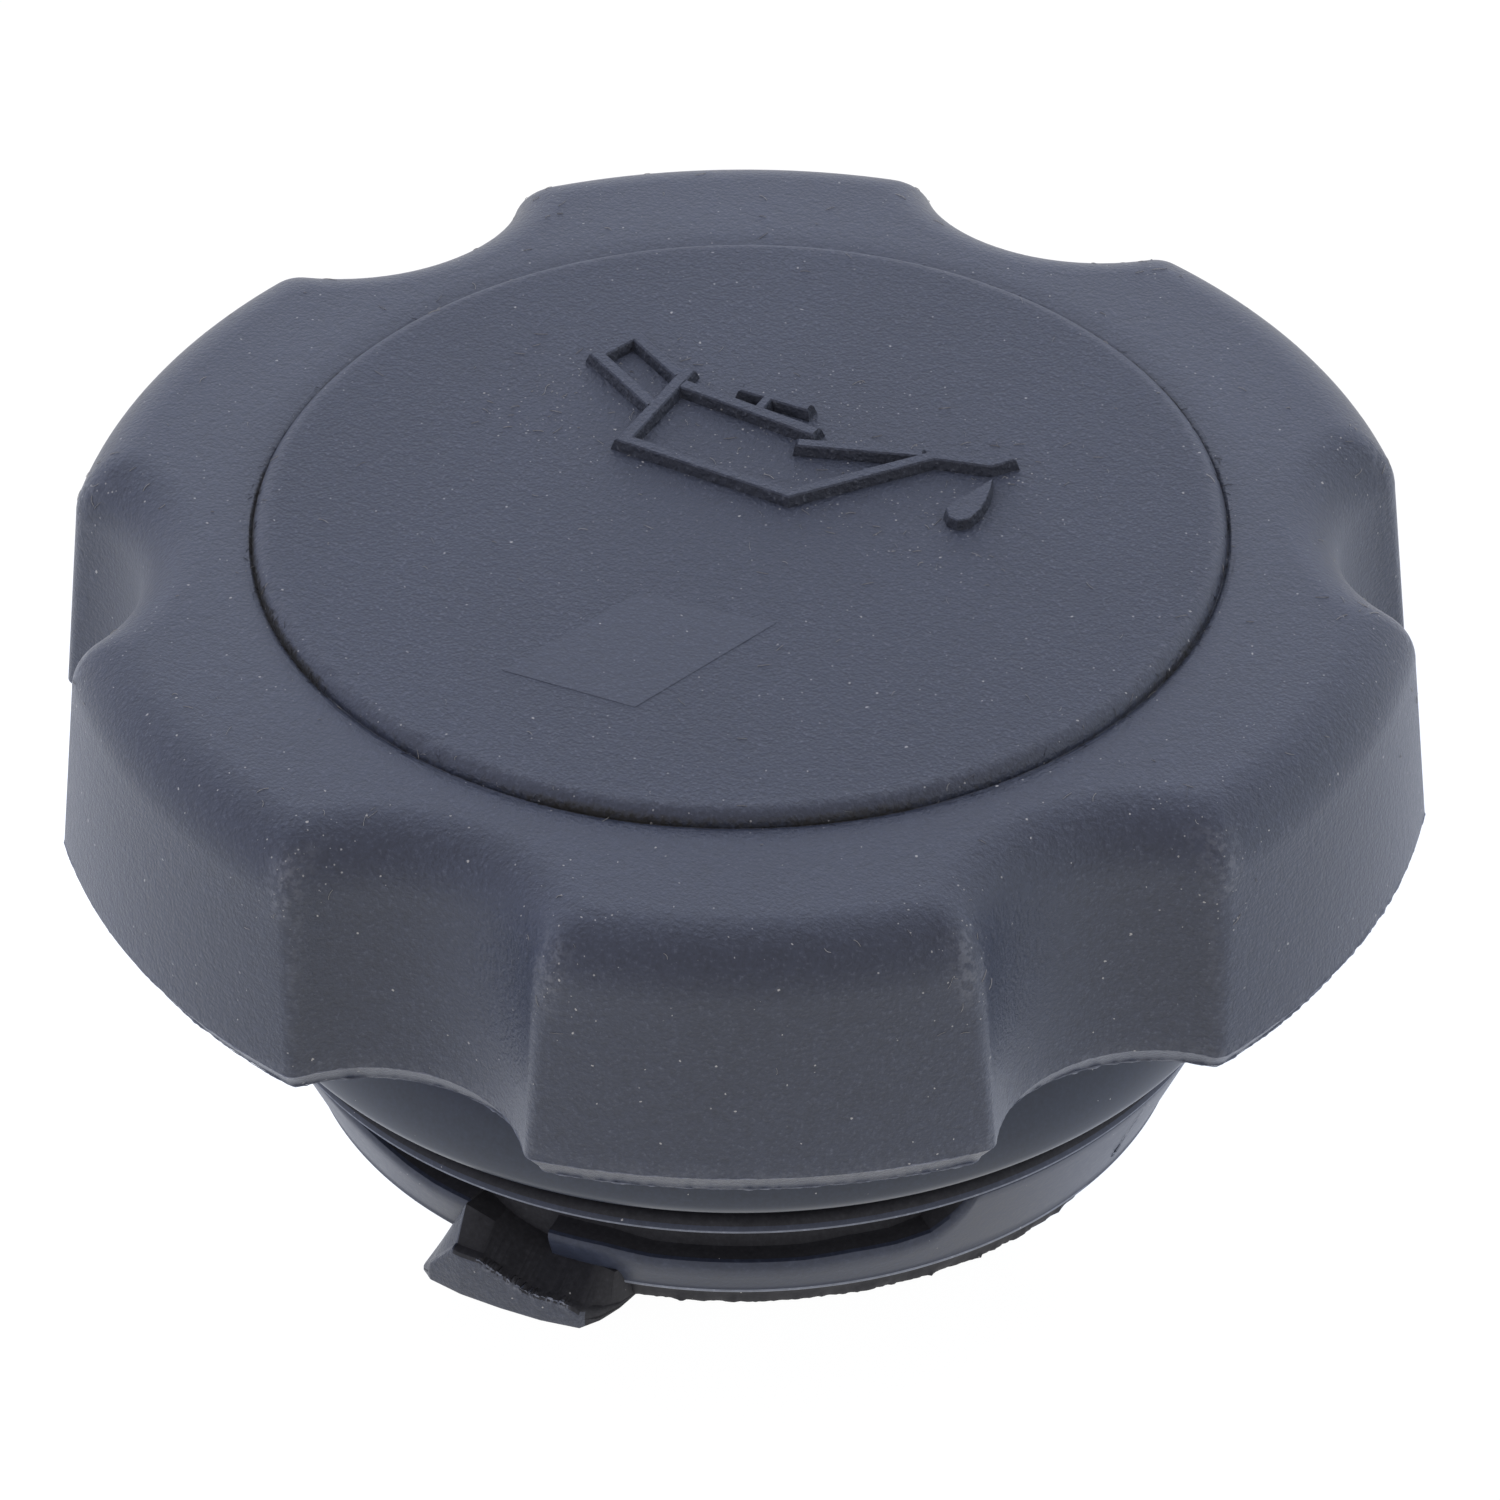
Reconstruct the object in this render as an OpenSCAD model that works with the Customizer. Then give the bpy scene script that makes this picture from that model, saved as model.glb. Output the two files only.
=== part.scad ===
// Oil filler cap with a six-lobed grip, a bayonet spigot and a rubber sealing ring.
// Millimetres. The axis is Z and the spigot's bottom rim lies on z = 0.
// The grip has a lobe on +X, and the two bayonet lugs point to -Y and +Y.

/* [Grip outline] */
// Number of lobes around the grip
lobes = 6; // [5:1:8]
// Radius over the lobes, at the skirt's parting line
lobe_r = 33; // [32.5:0.5:36]
// Radius of the arc along each lobe, seen from above
lobe_arc_r = 32.6; // [25:0.2:45]
// Depth of the finger scallops between the lobes
scallop_depth = 3.95; // [2:0.05:4.5]
// Radius of the finger scallops
scallop_r = 7.4; // [6:0.1:9]
// Radius of a lobe's corners at the parting line
corner_low_r = 1.2; // [0.8:0.1:3]
// Radius of a lobe's corners under the top edge
corner_high_r = 1.8; // [1:0.1:4]

/* [Grip height] */
// Height of the skirt's lower edge above the spigot's bottom rim
skirt_z = 16.4; // [15:0.1:19]
// Height of the rim between the skirt's lower edge and its parting line
rim_h = 1.3; // [0.6:0.1:2]
// How far the lower edge lies inside the parting line
rim_inset = 0.7; // [0.2:0.05:1]
// Height of the grip from the parting line to the foot of its crown
grip_h = 12.65; // [9:0.05:18]
// Draft of the grip's side, in degrees
side_draft = 3.5; // [0.5:0.25:5]
// Rounding between the side and the top
top_edge_r = 3.25; // [1.5:0.25:4]

/* [Crown and disc] */
// Rise of the top from the rounded edge to the foot of the disc
crown_rise = 0.25; // [0.1:0.05:1]
// Radius of the raised disc at its top
disc_r = 22.45; // [18:0.05:23]
// Height of the disc over its foot
disc_rise = 0.6; // [0.2:0.05:1.2]
// Width of the disc's sloped edge
disc_edge_w = 0.65; // [0.3:0.05:1.2]
// Width of the small bevel between the disc's edge and its top
disc_bevel_w = 0.15; // [0.05:0.05:0.3]

/* [Walls] */
// Wall of the skirt at its lower edge
skirt_t = 2.3; // [1.5:0.1:3]
// Draft of the skirt's inner side, in degrees
inner_draft = 1; // [0:0.25:3]
// Radius of the inner corners of the skirt
inner_corner_r = 1.2; // [0.6:0.1:2]
// Thickness of the top under the foot of the crown
top_t = 2.5; // [1.8:0.1:4]
// How much thicker the top is inside the collar
boss_t = 0.4; // [0.2:0.1:1.5]

/* [Ribs under the top] */
// Ribs in each lobe
ribs_per_lobe = 3; // [1:1:4]
// Angle between the ribs of a lobe, in degrees
rib_step = 13; // [6:1:14]
// Thickness of a rib
rib_t = 1.4; // [0.8:0.1:2]
// How far the ribs stop above the skirt's lower edge
rib_inset = 1.5; // [0.5:0.25:4]

/* [Spigot] */
// Bore of the spigot at its bottom rim
bore_r = 18.8; // [17:0.1:19.2]
// Draft of the bore, in degrees
bore_draft = 0.5; // [0:0.25:1]
// Width of the spigot's bottom rim, inside its chamfer
rim_w = 1.7; // [1.2:0.05:1.9]
// Width of the bottom chamfer, from the rim to the foot of the cone
foot_w = 0.7; // [0.5:0.05:1.2]
// Height of the bottom chamfer
foot_chamfer = 1.4; // [0.6:0.1:1.6]
// Wall of the spigot where the sealing ring sits
spigot_t = 2.8; // [2:0.1:3]
// Width of the land under the sealing ring
land_w = 1.3; // [0.8:0.1:1.5]
// How far the guide ring stands out from the land, to centre the cap in the filler neck
guide_w = 0.9; // [0.5:0.1:1.4]
// Height of the guide ring's lower edge
guide_z = 6.95; // [6.5:0.05:7.6]
// Height of the guide ring
guide_t = 0.75; // [0.5:0.05:1.2]
// Height of the land above the guide ring
land_h = 1.25; // [0.6:0.05:2]

/* [Bayonet pockets] */
// Wall between the bore and a pocket
pocket_t = 2.1; // [1.6:0.1:2.2]
// Depth of a pocket's floor under the guide ring
pocket_h = 3.1; // [2.4:0.05:3.5]
// Depth of the floor's shallow end, beside the lug's lead-in
pocket_shallow_h = 2.25; // [1.6:0.05:2.6]
// Depth of the floor beside the lug's ramp
pocket_step_h = 2.75; // [2.4:0.05:3]
// Reach of the pocket past the lug's middle, on its long side
pocket_long = 19.1; // [14:0.1:20]
// Reach of the pocket past the lug's middle, on its short side
pocket_short = 10.2; // [8:0.1:14]
// Corner radius at the pocket's long end
pocket_corner_r = 2; // [0.5:0.1:2.4]

/* [Bayonet lugs] */
// Number of lugs and pockets
lugs = 2; // [2:1:2]
// Width of a lug
lug_w = 10; // [8:0.2:12]
// Height of a lug at the high end of its ramp
lug_high = 2.6; // [2:0.1:3.2]
// Height of a lug at the low end of its ramp
lug_low = 1.6; // [1:0.1:1.9]
// Length of the ramp between the two heights
ramp_l = 2.5; // [1:0.1:3]
// Length of the lug's flat high end
high_l = 1.6; // [0.8:0.1:2.4]
// Width of the lead-in bevel at the high end
lead_in = 2.2; // [1:0.1:2.6]
// Corner radius of a lug at its low end, seen from above
lug_corner_r = 2.4; // [0.8:0.1:3]
// Corner radius of a lug at its lead-in, seen from above
lead_corner_r = 0.9; // [0.4:0.1:1.5]

/* [Sealing ring] */
// Width of the sealing ring's section
seal_w = 3.95; // [3.4:0.05:4.4]
// Height of the sealing ring
seal_h = 5.35; // [4.8:0.05:5.6]
// Rounding of the ring's lower outer edge
seal_low_r = 1.3; // [0.5:0.1:2]
// Rounding of the ring's upper outer edge
seal_high_r = 0.5; // [0.3:0.1:1]
// Gap between the ring and the spigot
seal_gap = 0.05; // [0.02:0.01:0.2]
// Wall of the collar that the ring's top bears on
collar_t = 1.8; // [1.2:0.1:2.2]

/* [Hidden] */
$fn = 128;
// How far a cut reaches past what it cuts
past = 1;

half_angle = 180 / lobes;
parting_z = skirt_z + rim_h;
edge_r = min(top_edge_r, grip_h / 2);
wall_z = parting_z + grip_h - edge_r;
crown_foot_z = parting_z + grip_h;
disc_foot_z = crown_foot_z + crown_rise;
disc_z = disc_foot_z + disc_rise;
ceiling_z = crown_foot_z - top_t;
scallop_d = lobe_r - scallop_depth + scallop_r;
land_z = guide_z + guide_t + land_h;
seal_top_z = land_z + seal_h;
pocket_z = guide_z - pocket_h;
pocket_shallow_z = guide_z - pocket_shallow_h;
pocket_step_z = guide_z - pocket_step_h;

// Radii of the spigot, each built up from the one inside it
rim_r = bore_r + rim_w;
foot_r = rim_r + foot_w;
pocket_r = bore_r + pocket_t;
spigot_r = bore_r + spigot_t;
land_r = spigot_r + land_w;
guide_r = land_r + guide_w;
lug_r = guide_r;
seal_inner_r = spigot_r + seal_gap;
seal_r = seal_inner_r + seal_w;
collar_mid_r = seal_r - collar_t / 2;

// Steps along the arcs of a grip outline
lobe_steps = 3;
corner_steps = 4;
scallop_steps = 5;
edge_steps = 5;

function polar(r, a) = [r * cos(a), r * sin(a)];
function direction(v) = atan2(v[1], v[0]);
function arc(c, r, a0, a1, n, from = 0) = [for (i = [from:n]) c + polar(r, a0 + (a1 - a0) * i / n)];
function at_height(points, z) = [for (p = points) [p[0], p[1], z]];

// Half of a lobe of the grip, from its middle to the middle of a scallop,
// moved inwards by inset: the lobe's arc, its corner and the scallop's arc
function half_lobe(inset, corner_r) =
    let (lobe_c = [lobe_r - lobe_arc_r, 0])
    let (scallop_c = polar(scallop_d, half_angle))
    let (reach = scallop_c - lobe_c, d = norm(reach), u = reach / d)
    let (a = lobe_arc_r - inset - corner_r, b = scallop_r + inset + corner_r)
    let (along = (a * a - b * b + d * d) / (2 * d))
    let (aside = sqrt(max(a * a - along * along, 0)))
    let (corner_c = lobe_c + along * u + aside * [u[1], -u[0]])
    let (a1 = direction(corner_c - lobe_c), b1 = direction(scallop_c - corner_c))
    concat(
        arc(lobe_c, lobe_arc_r - inset, 0, a1, lobe_steps),
        arc(corner_c, corner_r, a1, b1, corner_steps, 1),
        arc(scallop_c, scallop_r + inset, b1 - 180, half_angle - 180, scallop_steps, 1)
    );

// The whole grip outline, with the half lobe mirrored at each scallop's middle
function turned(p, a) = [p[0] * cos(a) - p[1] * sin(a), p[0] * sin(a) + p[1] * cos(a)];
function mirrored(p, a) = [p[0] * cos(2 * a) + p[1] * sin(2 * a), p[0] * sin(2 * a) - p[1] * cos(2 * a)];
function outline(inset, corner_r) =
    let (half = half_lobe(inset, corner_r), n = len(half))
    let (back = [for (i = [n - 2:-1:1]) mirrored(half[i], half_angle)])
    [for (k = [0:lobes - 1]) each [for (p = concat(half, back)) turned(p, 2 * half_angle * k)]];

// A circle with its points at the same angles as those of an outline
function round_ring(like, r, z) = [for (p = like) [each polar(r, direction(p)), z]];

// The grip's section as rings, from the ceiling down the inside, round the lower edge,
// up the outside, over the rounded edge and the crown and up the disc's sloped edge
function corner_at(z) = corner_low_r + (corner_high_r - corner_low_r) * (z - parting_z) / (wall_z - parting_z);
function inner_inset(z) = skirt_t + (z - skirt_z) * tan(inner_draft);
side_inset = (wall_z - parting_z) * tan(side_draft);
edge_rings = [for (i = [1:edge_steps]) let (a = 90 * i / edge_steps)
    at_height(outline(side_inset + edge_r * (1 - cos(a)), corner_high_r), wall_z + edge_r * sin(a))];
top_ring = edge_rings[edge_steps - 1];
skirt_ring = at_height(outline(inner_inset(skirt_z), inner_corner_r), skirt_z);
root_z = ceiling_z + top_t / 4;
grip_rings = concat(
    [
        round_ring(skirt_ring, collar_mid_r, ceiling_z),
        at_height(outline(inner_inset(ceiling_z), inner_corner_r), ceiling_z),
        skirt_ring,
        at_height(outline(rim_inset, corner_low_r), skirt_z),
        at_height(outline(0, corner_low_r), parting_z),
        at_height(outline(side_inset, corner_at(wall_z)), wall_z)
    ],
    edge_rings,
    [
        round_ring(top_ring, disc_r + disc_edge_w, disc_foot_z),
        round_ring(top_ring, disc_r + disc_bevel_w / 2, disc_z - disc_bevel_w / 3),
        round_ring(top_ring, disc_r - disc_bevel_w / 2, disc_z)
    ]
);

// A closed solid through rings that all have the same number of points
module loft(rings) {
    n = len(rings[0]);
    last = (len(rings) - 1) * n;
    bands = [for (j = [0:len(rings) - 2], i = [0:n - 1])
        let (a = j * n + i, b = j * n + (i + 1) % n)
        each [[a, a + n, b], [b, a + n, b + n]]];
    caps = [[for (i = [0:n - 1]) i], [for (i = [n - 1:-1:0]) last + i]];
    polyhedron(points = [for (r = rings) each r], faces = concat(bands, caps), convexity = 8);
}

module grip() {
    loft(grip_rings);
}

// Ribs between the collar and the skirt, in each lobe
module ribs() {
    rib_end = lobe_r - skirt_t / 2;
    for (k = [0:lobes - 1], i = [0:ribs_per_lobe - 1])
        rotate([0, 0, 2 * half_angle * k + rib_step * (i - (ribs_per_lobe - 1) / 2)])
            translate([collar_mid_r, -rib_t / 2, skirt_z + rib_inset])
                cube([rib_end - collar_mid_r, rib_t, root_z - skirt_z - rib_inset]);
}

// The collar that bears on the sealing ring's top, and the top's thicker middle
module collar() {
    rotate_extrude()
        polygon([
            [seal_r, seal_top_z],
            [seal_r, root_z],
            [0, root_z],
            [0, ceiling_z - boss_t],
            [seal_r - collar_t, ceiling_z - boss_t],
            [seal_r - collar_t, seal_top_z]
        ]);
}

// The spigot's wall: chamfer, cone, guide ring, land and the ring's seat
module spigot_wall() {
    rotate_extrude()
        polygon([
            [bore_r, 0],
            [rim_r, 0],
            [foot_r, foot_chamfer],
            [guide_r, guide_z],
            [guide_r, guide_z + guide_t],
            [land_r, guide_z + guide_t],
            [land_r, land_z],
            [spigot_r, land_z],
            [spigot_r, root_z],
            [bore_r - root_z * tan(bore_draft), root_z]
        ]);
}

// A side view pushed out along -Y from the axis
module from_side(points, depth) {
    rotate([90, 0, 0])
        linear_extrude(height = depth)
            polygon(points);
}

// Places along a lug: bevel's foot, high end, ramp's top, ramp's foot, low end
lug_x = [for (x = [0, lead_in, lead_in + high_l, lead_in + high_l + ramp_l, lug_w]) x - lug_w / 2];
lug_side = [
    [lug_x[0], 0],
    [lug_x[1], lug_high],
    [lug_x[2], lug_high],
    [lug_x[3], lug_low],
    [lug_x[4], lug_low],
    [lug_x[4], 0]
];

// Side view of a pocket, which runs down to the lug's high end and ramp
pocket_side = concat(
    [
        [-pocket_short, guide_z],
        [lug_x[0], pocket_shallow_z],
        [lug_x[1], pocket_shallow_z],
        [lug_x[1], lug_high],
        [lug_x[2], lug_high],
        [lug_x[3], lug_low],
        [lug_x[3], pocket_step_z],
        [lug_x[4], pocket_z]
    ],
    arc([pocket_long - pocket_corner_r, pocket_z + pocket_corner_r], pocket_corner_r, -90, 0, 5),
    [[pocket_long, guide_z]]
);

module pocket() {
    difference() {
        from_side(pocket_side, guide_r + past);
        translate([0, 0, -past])
            cylinder(r = pocket_r, h = guide_z + 2 * past);
    }
}

// Plan view of a lug: its sides, and corner arcs that run into the arc over the lugs
lead_c = lug_corner(-lug_w / 2 + lead_corner_r, lead_corner_r);
low_c = lug_corner(lug_w / 2 - lug_corner_r, lug_corner_r);
lug_plan = concat(
    [[-lug_w / 2, -bore_r / 2]],
    arc(lead_c, lead_corner_r, -180, direction(lead_c), 4),
    arc([0, 0], lug_r, direction(lead_c), direction(low_c), 6, 1),
    arc(low_c, lug_corner_r, direction(low_c), 0, 6, 1),
    [[lug_w / 2, -bore_r / 2]]
);

// Centre of a corner arc that touches the arc over the lugs from inside
function lug_corner(x, r) = [x, -sqrt(pow(lug_r - r, 2) - x * x)];

module lug() {
    root_r = (bore_r + rim_r) / 2;
    difference() {
        intersection() {
            from_side(lug_side, lug_r + past);
            linear_extrude(height = lug_high + past)
                polygon(lug_plan);
        }
        translate([0, 0, -past])
            cylinder(r = root_r, h = lug_high + 2 * past);
    }
}

module spigot() {
    difference() {
        spigot_wall();
        for (k = [0:lugs - 1])
            rotate([0, 0, 360 / lugs * k])
                pocket();
    }
    for (k = [0:lugs - 1])
        rotate([0, 0, 360 / lugs * k])
            lug();
}

module cap_body() {
    color([0.30, 0.32, 0.37]) {
        grip();
        collar();
        ribs();
        spigot();
    }
}

module sealing_ring() {
    color([0.17, 0.18, 0.20])
        rotate_extrude()
            polygon(concat(
                [[seal_inner_r, land_z]],
                arc([seal_r - seal_low_r, land_z + seal_low_r], seal_low_r, -90, 0, 6),
                arc([seal_r - seal_high_r, seal_top_z - seal_high_r], seal_high_r, 0, 90, 3),
                [[seal_inner_r, seal_top_z]]
            ));
}

cap_body();
sealing_ring();
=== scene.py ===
# Oil filler cap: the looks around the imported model. Sizes in the dictionaries are in millimetres.
import math

import bmesh
import bpy
import numpy as np
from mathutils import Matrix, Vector


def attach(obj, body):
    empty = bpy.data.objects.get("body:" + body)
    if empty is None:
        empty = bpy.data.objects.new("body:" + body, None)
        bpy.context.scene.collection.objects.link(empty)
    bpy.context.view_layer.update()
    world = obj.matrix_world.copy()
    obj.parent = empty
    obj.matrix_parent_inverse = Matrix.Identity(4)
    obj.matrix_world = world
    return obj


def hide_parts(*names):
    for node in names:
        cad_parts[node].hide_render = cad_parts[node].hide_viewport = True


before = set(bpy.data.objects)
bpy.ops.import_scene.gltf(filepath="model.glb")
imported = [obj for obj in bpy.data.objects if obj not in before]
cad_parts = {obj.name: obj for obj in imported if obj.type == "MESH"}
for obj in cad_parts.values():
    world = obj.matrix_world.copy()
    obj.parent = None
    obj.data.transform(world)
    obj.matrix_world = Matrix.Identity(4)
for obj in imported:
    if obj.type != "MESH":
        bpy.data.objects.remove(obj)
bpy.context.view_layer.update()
mm = 0.001
scene = bpy.context.scene


# Camera, floor and lights

view = {
    "place": (230.624, -422.573, 382.209),
    "turn": (52.84304, 0.29070, 28.35492),
    "lens": 302.524,
    "sensor": 36.0,
}


def makeCamera(v):
    data = bpy.data.cameras.new("photoView")
    data.lens = v["lens"]
    data.sensor_width = v["sensor"]
    data.clip_start = 0.05
    data.clip_end = 20
    camera = bpy.data.objects.new("photoView", data)
    camera.location = Vector(v["place"]) * mm
    camera.rotation_euler = [math.radians(a) for a in v["turn"]]
    scene.collection.objects.link(camera)
    scene.camera = camera


studio = {
    "floorSize": 4000,
    "paperColour": (0.05, 0.05, 0.05, 1),
    "floorBack": (0.98, 0.98, 0.98, 1),
    "floorFront": (0.98, 0.98, 0.98, 1),
    "floorLeft": (1.10, 1.14, 1.24, 1),
    "floorRight": (1.00, 1.05, 1.17, 1),
    "facing": 28.62,
    "backColour": (1.26, 1.34, 1.60, 1),
    "frontColour": (0.62, 0.59, 0.60, 1),
    "leftColour": (1.07, 1.12, 1.38, 1),
    "rightColour": (1.17, 1.24, 1.38, 1),
    "frontFrom": -0.38,
    "frontTo": 0.02,
    "sideFrom": 0.55,
    "sideTo": 0.85,
}

# Azimuth from the photograph's view, elevation, distance, width, height, power in watts
softBoxes = {
    "backLight": (180, 48, 1100, 1300, 800, 0.25),
}


def pointTowards(azimuth, elevation):
    a, e = math.radians(azimuth), math.radians(elevation)
    return Vector((math.sin(a) * math.cos(e), -math.cos(a) * math.cos(e), math.sin(e)))


def makeSoftBox(name, azimuth, elevation, distance, width, height, power):
    data = bpy.data.lights.new(name, "AREA")
    data.shape = "RECTANGLE"
    data.size = width * mm
    data.size_y = height * mm
    data.energy = power
    box = bpy.data.objects.new(name, data)
    towards = pointTowards(studio["facing"] + azimuth, elevation)
    box.location = towards * distance * mm
    box.rotation_euler = towards.to_track_quat("Z", "Y").to_euler()
    box.visible_camera = False
    scene.collection.objects.link(box)


def makeAir(s):
    world = bpy.data.worlds.new("studioAir")
    world.use_nodes = True
    tree = world.node_tree
    way = tree.nodes.new("ShaderNodeTexCoord").outputs["Generated"]
    colour = quarterColour(tree, way, s, "Colour")
    feed(tree, colour, tree.nodes["Background"].inputs["Color"])
    scene.world = world


def quarterColour(tree, way, s, kind):
    def named(side):
        return s[side + kind] if kind == "Colour" else s[kind + side.capitalize()]

    def towards(azimuth, low, high):
        facing = addNode(tree, "ShaderNodeVectorMath", {"operation": "DOT_PRODUCT"})
        feed(tree, way, facing.inputs[0])
        facing.inputs[1].default_value = pointTowards(s["facing"] + azimuth, 0)
        soft = {"interpolation_type": "SMOOTHSTEP"}
        return addNode(tree, "ShaderNodeMapRange", soft, Value=facing.outputs["Value"], From_Min=low,
                       From_Max=high).outputs["Result"]

    colour = addMix(tree, towards(0, s["frontFrom"], s["frontTo"]), named("back"), named("front"))
    colour = addMix(tree, towards(90, s["sideFrom"], s["sideTo"]), colour, named("right"))
    return addMix(tree, towards(-90, s["sideFrom"], s["sideTo"]), colour, named("left"))


def makeStudio(s):
    makeAir(s)
    half = s["floorSize"] * mm / 2
    mesh = bpy.data.meshes.new("floor")
    corners = [(-half, -half, 0), (half, -half, 0), (half, half, 0), (-half, half, 0)]
    mesh.from_pydata(corners, [], [(0, 1, 2, 3)])
    floor = bpy.data.objects.new("floor", mesh)
    scene.collection.objects.link(floor)
    paper = bpy.data.materials.new("floorPaper")
    paper.use_nodes = True
    shader = paper.node_tree.nodes["Principled BSDF"]
    shader.inputs["Base Color"].default_value = s["paperColour"]
    shader.inputs["Roughness"].default_value = 0.9
    shader.inputs["Specular IOR Level"].default_value = 0.1
    shader.inputs["Emission Strength"].default_value = 1.0
    place = paper.node_tree.nodes.new("ShaderNodeTexCoord").outputs["Object"]
    way = addNode(paper.node_tree, "ShaderNodeVectorMath", {"operation": "NORMALIZE"})
    feed(paper.node_tree, place, way.inputs[0])
    glow = quarterColour(paper.node_tree, way.outputs[0], s, "floor")
    feed(paper.node_tree, glow, shader.inputs["Emission Color"])
    mesh.materials.append(paper)
    for name, values in softBoxes.items():
        makeSoftBox(name, *values)
    scene.view_settings.view_transform = "Standard"


# Shader node groups and materials

def newGroup(kind, name, inputs, outputs):
    group = bpy.data.node_groups.new(name, kind)
    for label, socketKind, value in inputs:
        socket = group.interface.new_socket(label, in_out="INPUT", socket_type=socketKind)
        if value is not None:
            socket.default_value = value
    for label, socketKind in outputs:
        group.interface.new_socket(label, in_out="OUTPUT", socket_type=socketKind)
    return group, group.nodes.new("NodeGroupInput"), group.nodes.new("NodeGroupOutput")


def feed(tree, value, socket):
    if isinstance(value, bpy.types.NodeSocket):
        tree.links.new(value, socket)
    elif value is not None:
        socket.default_value = value


def addNode(tree, kind, settings=None, **sockets):
    node = tree.nodes.new(kind)
    for label, value in (settings or {}).items():
        setattr(node, label, value)
    for label, value in sockets.items():
        feed(tree, value, node.inputs[label.replace("_", " ")])
    return node


def addMath(tree, operation, a, b=None, clamp=False):
    node = addNode(tree, "ShaderNodeMath", {"operation": operation, "use_clamp": clamp})
    feed(tree, a, node.inputs[0])
    feed(tree, b, node.inputs[1])
    return node.outputs[0]


def addNoise(tree, place, scale, detail, roughness):
    node = addNode(tree, "ShaderNodeTexNoise", Vector=place, Scale=scale, Detail=detail, Roughness=roughness)
    return node.outputs["Fac"]


def addRange(tree, value, low, high, toLow=0.0, toHigh=1.0):
    node = addNode(tree, "ShaderNodeMapRange", Value=value, From_Min=low, From_Max=high, To_Min=toLow,
                   To_Max=toHigh)
    return node.outputs["Result"]


def addMix(tree, factor, a, b, blend="MIX"):
    node = addNode(tree, "ShaderNodeMix", {"data_type": "RGBA", "blend_type": blend})
    for index, value in ((0, factor), (6, a), (7, b)):
        feed(tree, value, node.inputs[index])
    return node.outputs[2]


def makeGrainGroup():
    group, start, end = newGroup("ShaderNodeTree", "sparkGrain", [
        ("Place", "NodeSocketVector", None), ("Grain Scale", "NodeSocketFloat", 3000.0),
        ("Patch Scale", "NodeSocketFloat", 60.0)], [
        ("Height", "NodeSocketFloat"), ("Speckle", "NodeSocketFloat"), ("Patches", "NodeSocketFloat")])
    place, grainScale, patchScale = (start.outputs[n] for n in ("Place", "Grain Scale", "Patch Scale"))
    fine = addNoise(group, place, grainScale, 3.0, 0.6)
    coarse = addNoise(group, place, addMath(group, "MULTIPLY", grainScale, 0.37), 2.0, 0.5)
    height = addMath(group, "ADD", addMath(group, "MULTIPLY", fine, 0.65),
                     addMath(group, "MULTIPLY", coarse, 0.35))
    feed(group, height, end.inputs["Height"])
    feed(group, addRange(group, fine, 0.58, 0.76), end.inputs["Speckle"])
    feed(group, addNoise(group, place, patchScale, 4.0, 0.55), end.inputs["Patches"])
    return group


def makeWearGroup():
    group, start, end = newGroup("ShaderNodeTree", "rubbedEdges", [
        ("Mask", "NodeSocketFloat", 0.0), ("Place", "NodeSocketVector", None),
        ("Speckle Scale", "NodeSocketFloat", 2500.0), ("Amount", "NodeSocketFloat", 1.0)], [
        ("Wear", "NodeSocketFloat")])
    place, scale = start.outputs["Place"], start.outputs["Speckle Scale"]
    speckle = addRange(group, addNoise(group, place, scale, 2.0, 0.7), 0.46, 0.60)
    broad = addNoise(group, place, addMath(group, "MULTIPLY", scale, 0.15), 3.0, 0.6)
    streaks = addRange(group, broad, 0.35, 0.65)
    spread = addMath(group, "ADD", addMath(group, "MULTIPLY", speckle, 0.7),
                     addMath(group, "MULTIPLY", streaks, 0.3))
    wear = addMath(group, "MULTIPLY", spread, start.outputs["Mask"])
    feed(group, addMath(group, "MULTIPLY", wear, start.outputs["Amount"], True), end.inputs["Wear"])
    return group


def makeDustGroup():
    group, start, end = newGroup("ShaderNodeTree", "dustSpecks", [
        ("Place", "NodeSocketVector", None), ("Cells", "NodeSocketFloat", 1300.0),
        ("Size", "NodeSocketFloat", 0.07), ("Share", "NodeSocketFloat", 0.5)], [
        ("Dust", "NodeSocketFloat")])
    place, cells = start.outputs["Place"], start.outputs["Cells"]
    warp = addNode(group, "ShaderNodeTexNoise", Vector=place, Scale=addMath(group, "MULTIPLY", cells, 4.0),
                   Detail=1.0)
    centred = addNode(group, "ShaderNodeVectorMath", {"operation": "SUBTRACT"})
    feed(group, warp.outputs["Color"], centred.inputs[0])
    centred.inputs[1].default_value = (0.5, 0.5, 0.5)
    shift = addNode(group, "ShaderNodeVectorMath", {"operation": "SCALE"},
                    Scale=addMath(group, "DIVIDE", 0.22, cells))
    feed(group, centred.outputs[0], shift.inputs[0])
    warped = addNode(group, "ShaderNodeVectorMath", {"operation": "ADD"})
    feed(group, place, warped.inputs[0])
    feed(group, shift.outputs[0], warped.inputs[1])
    cell = addNode(group, "ShaderNodeTexVoronoi", Vector=warped.outputs[0], Scale=cells)
    random = addNode(group, "ShaderNodeSeparateColor", Color=cell.outputs["Color"])
    radius = addMath(group, "MULTIPLY", start.outputs["Size"], addMath(group, "ADD", random.outputs[0], 0.4))
    core = addMath(group, "MULTIPLY", radius, 0.7)
    inside = addRange(group, cell.outputs["Distance"], core, radius, 1.0, 0.0)
    present = addMath(group, "LESS_THAN", random.outputs[1], start.outputs["Share"])
    feed(group, addMath(group, "MULTIPLY", inside, present), end.inputs["Dust"])
    return group


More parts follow.
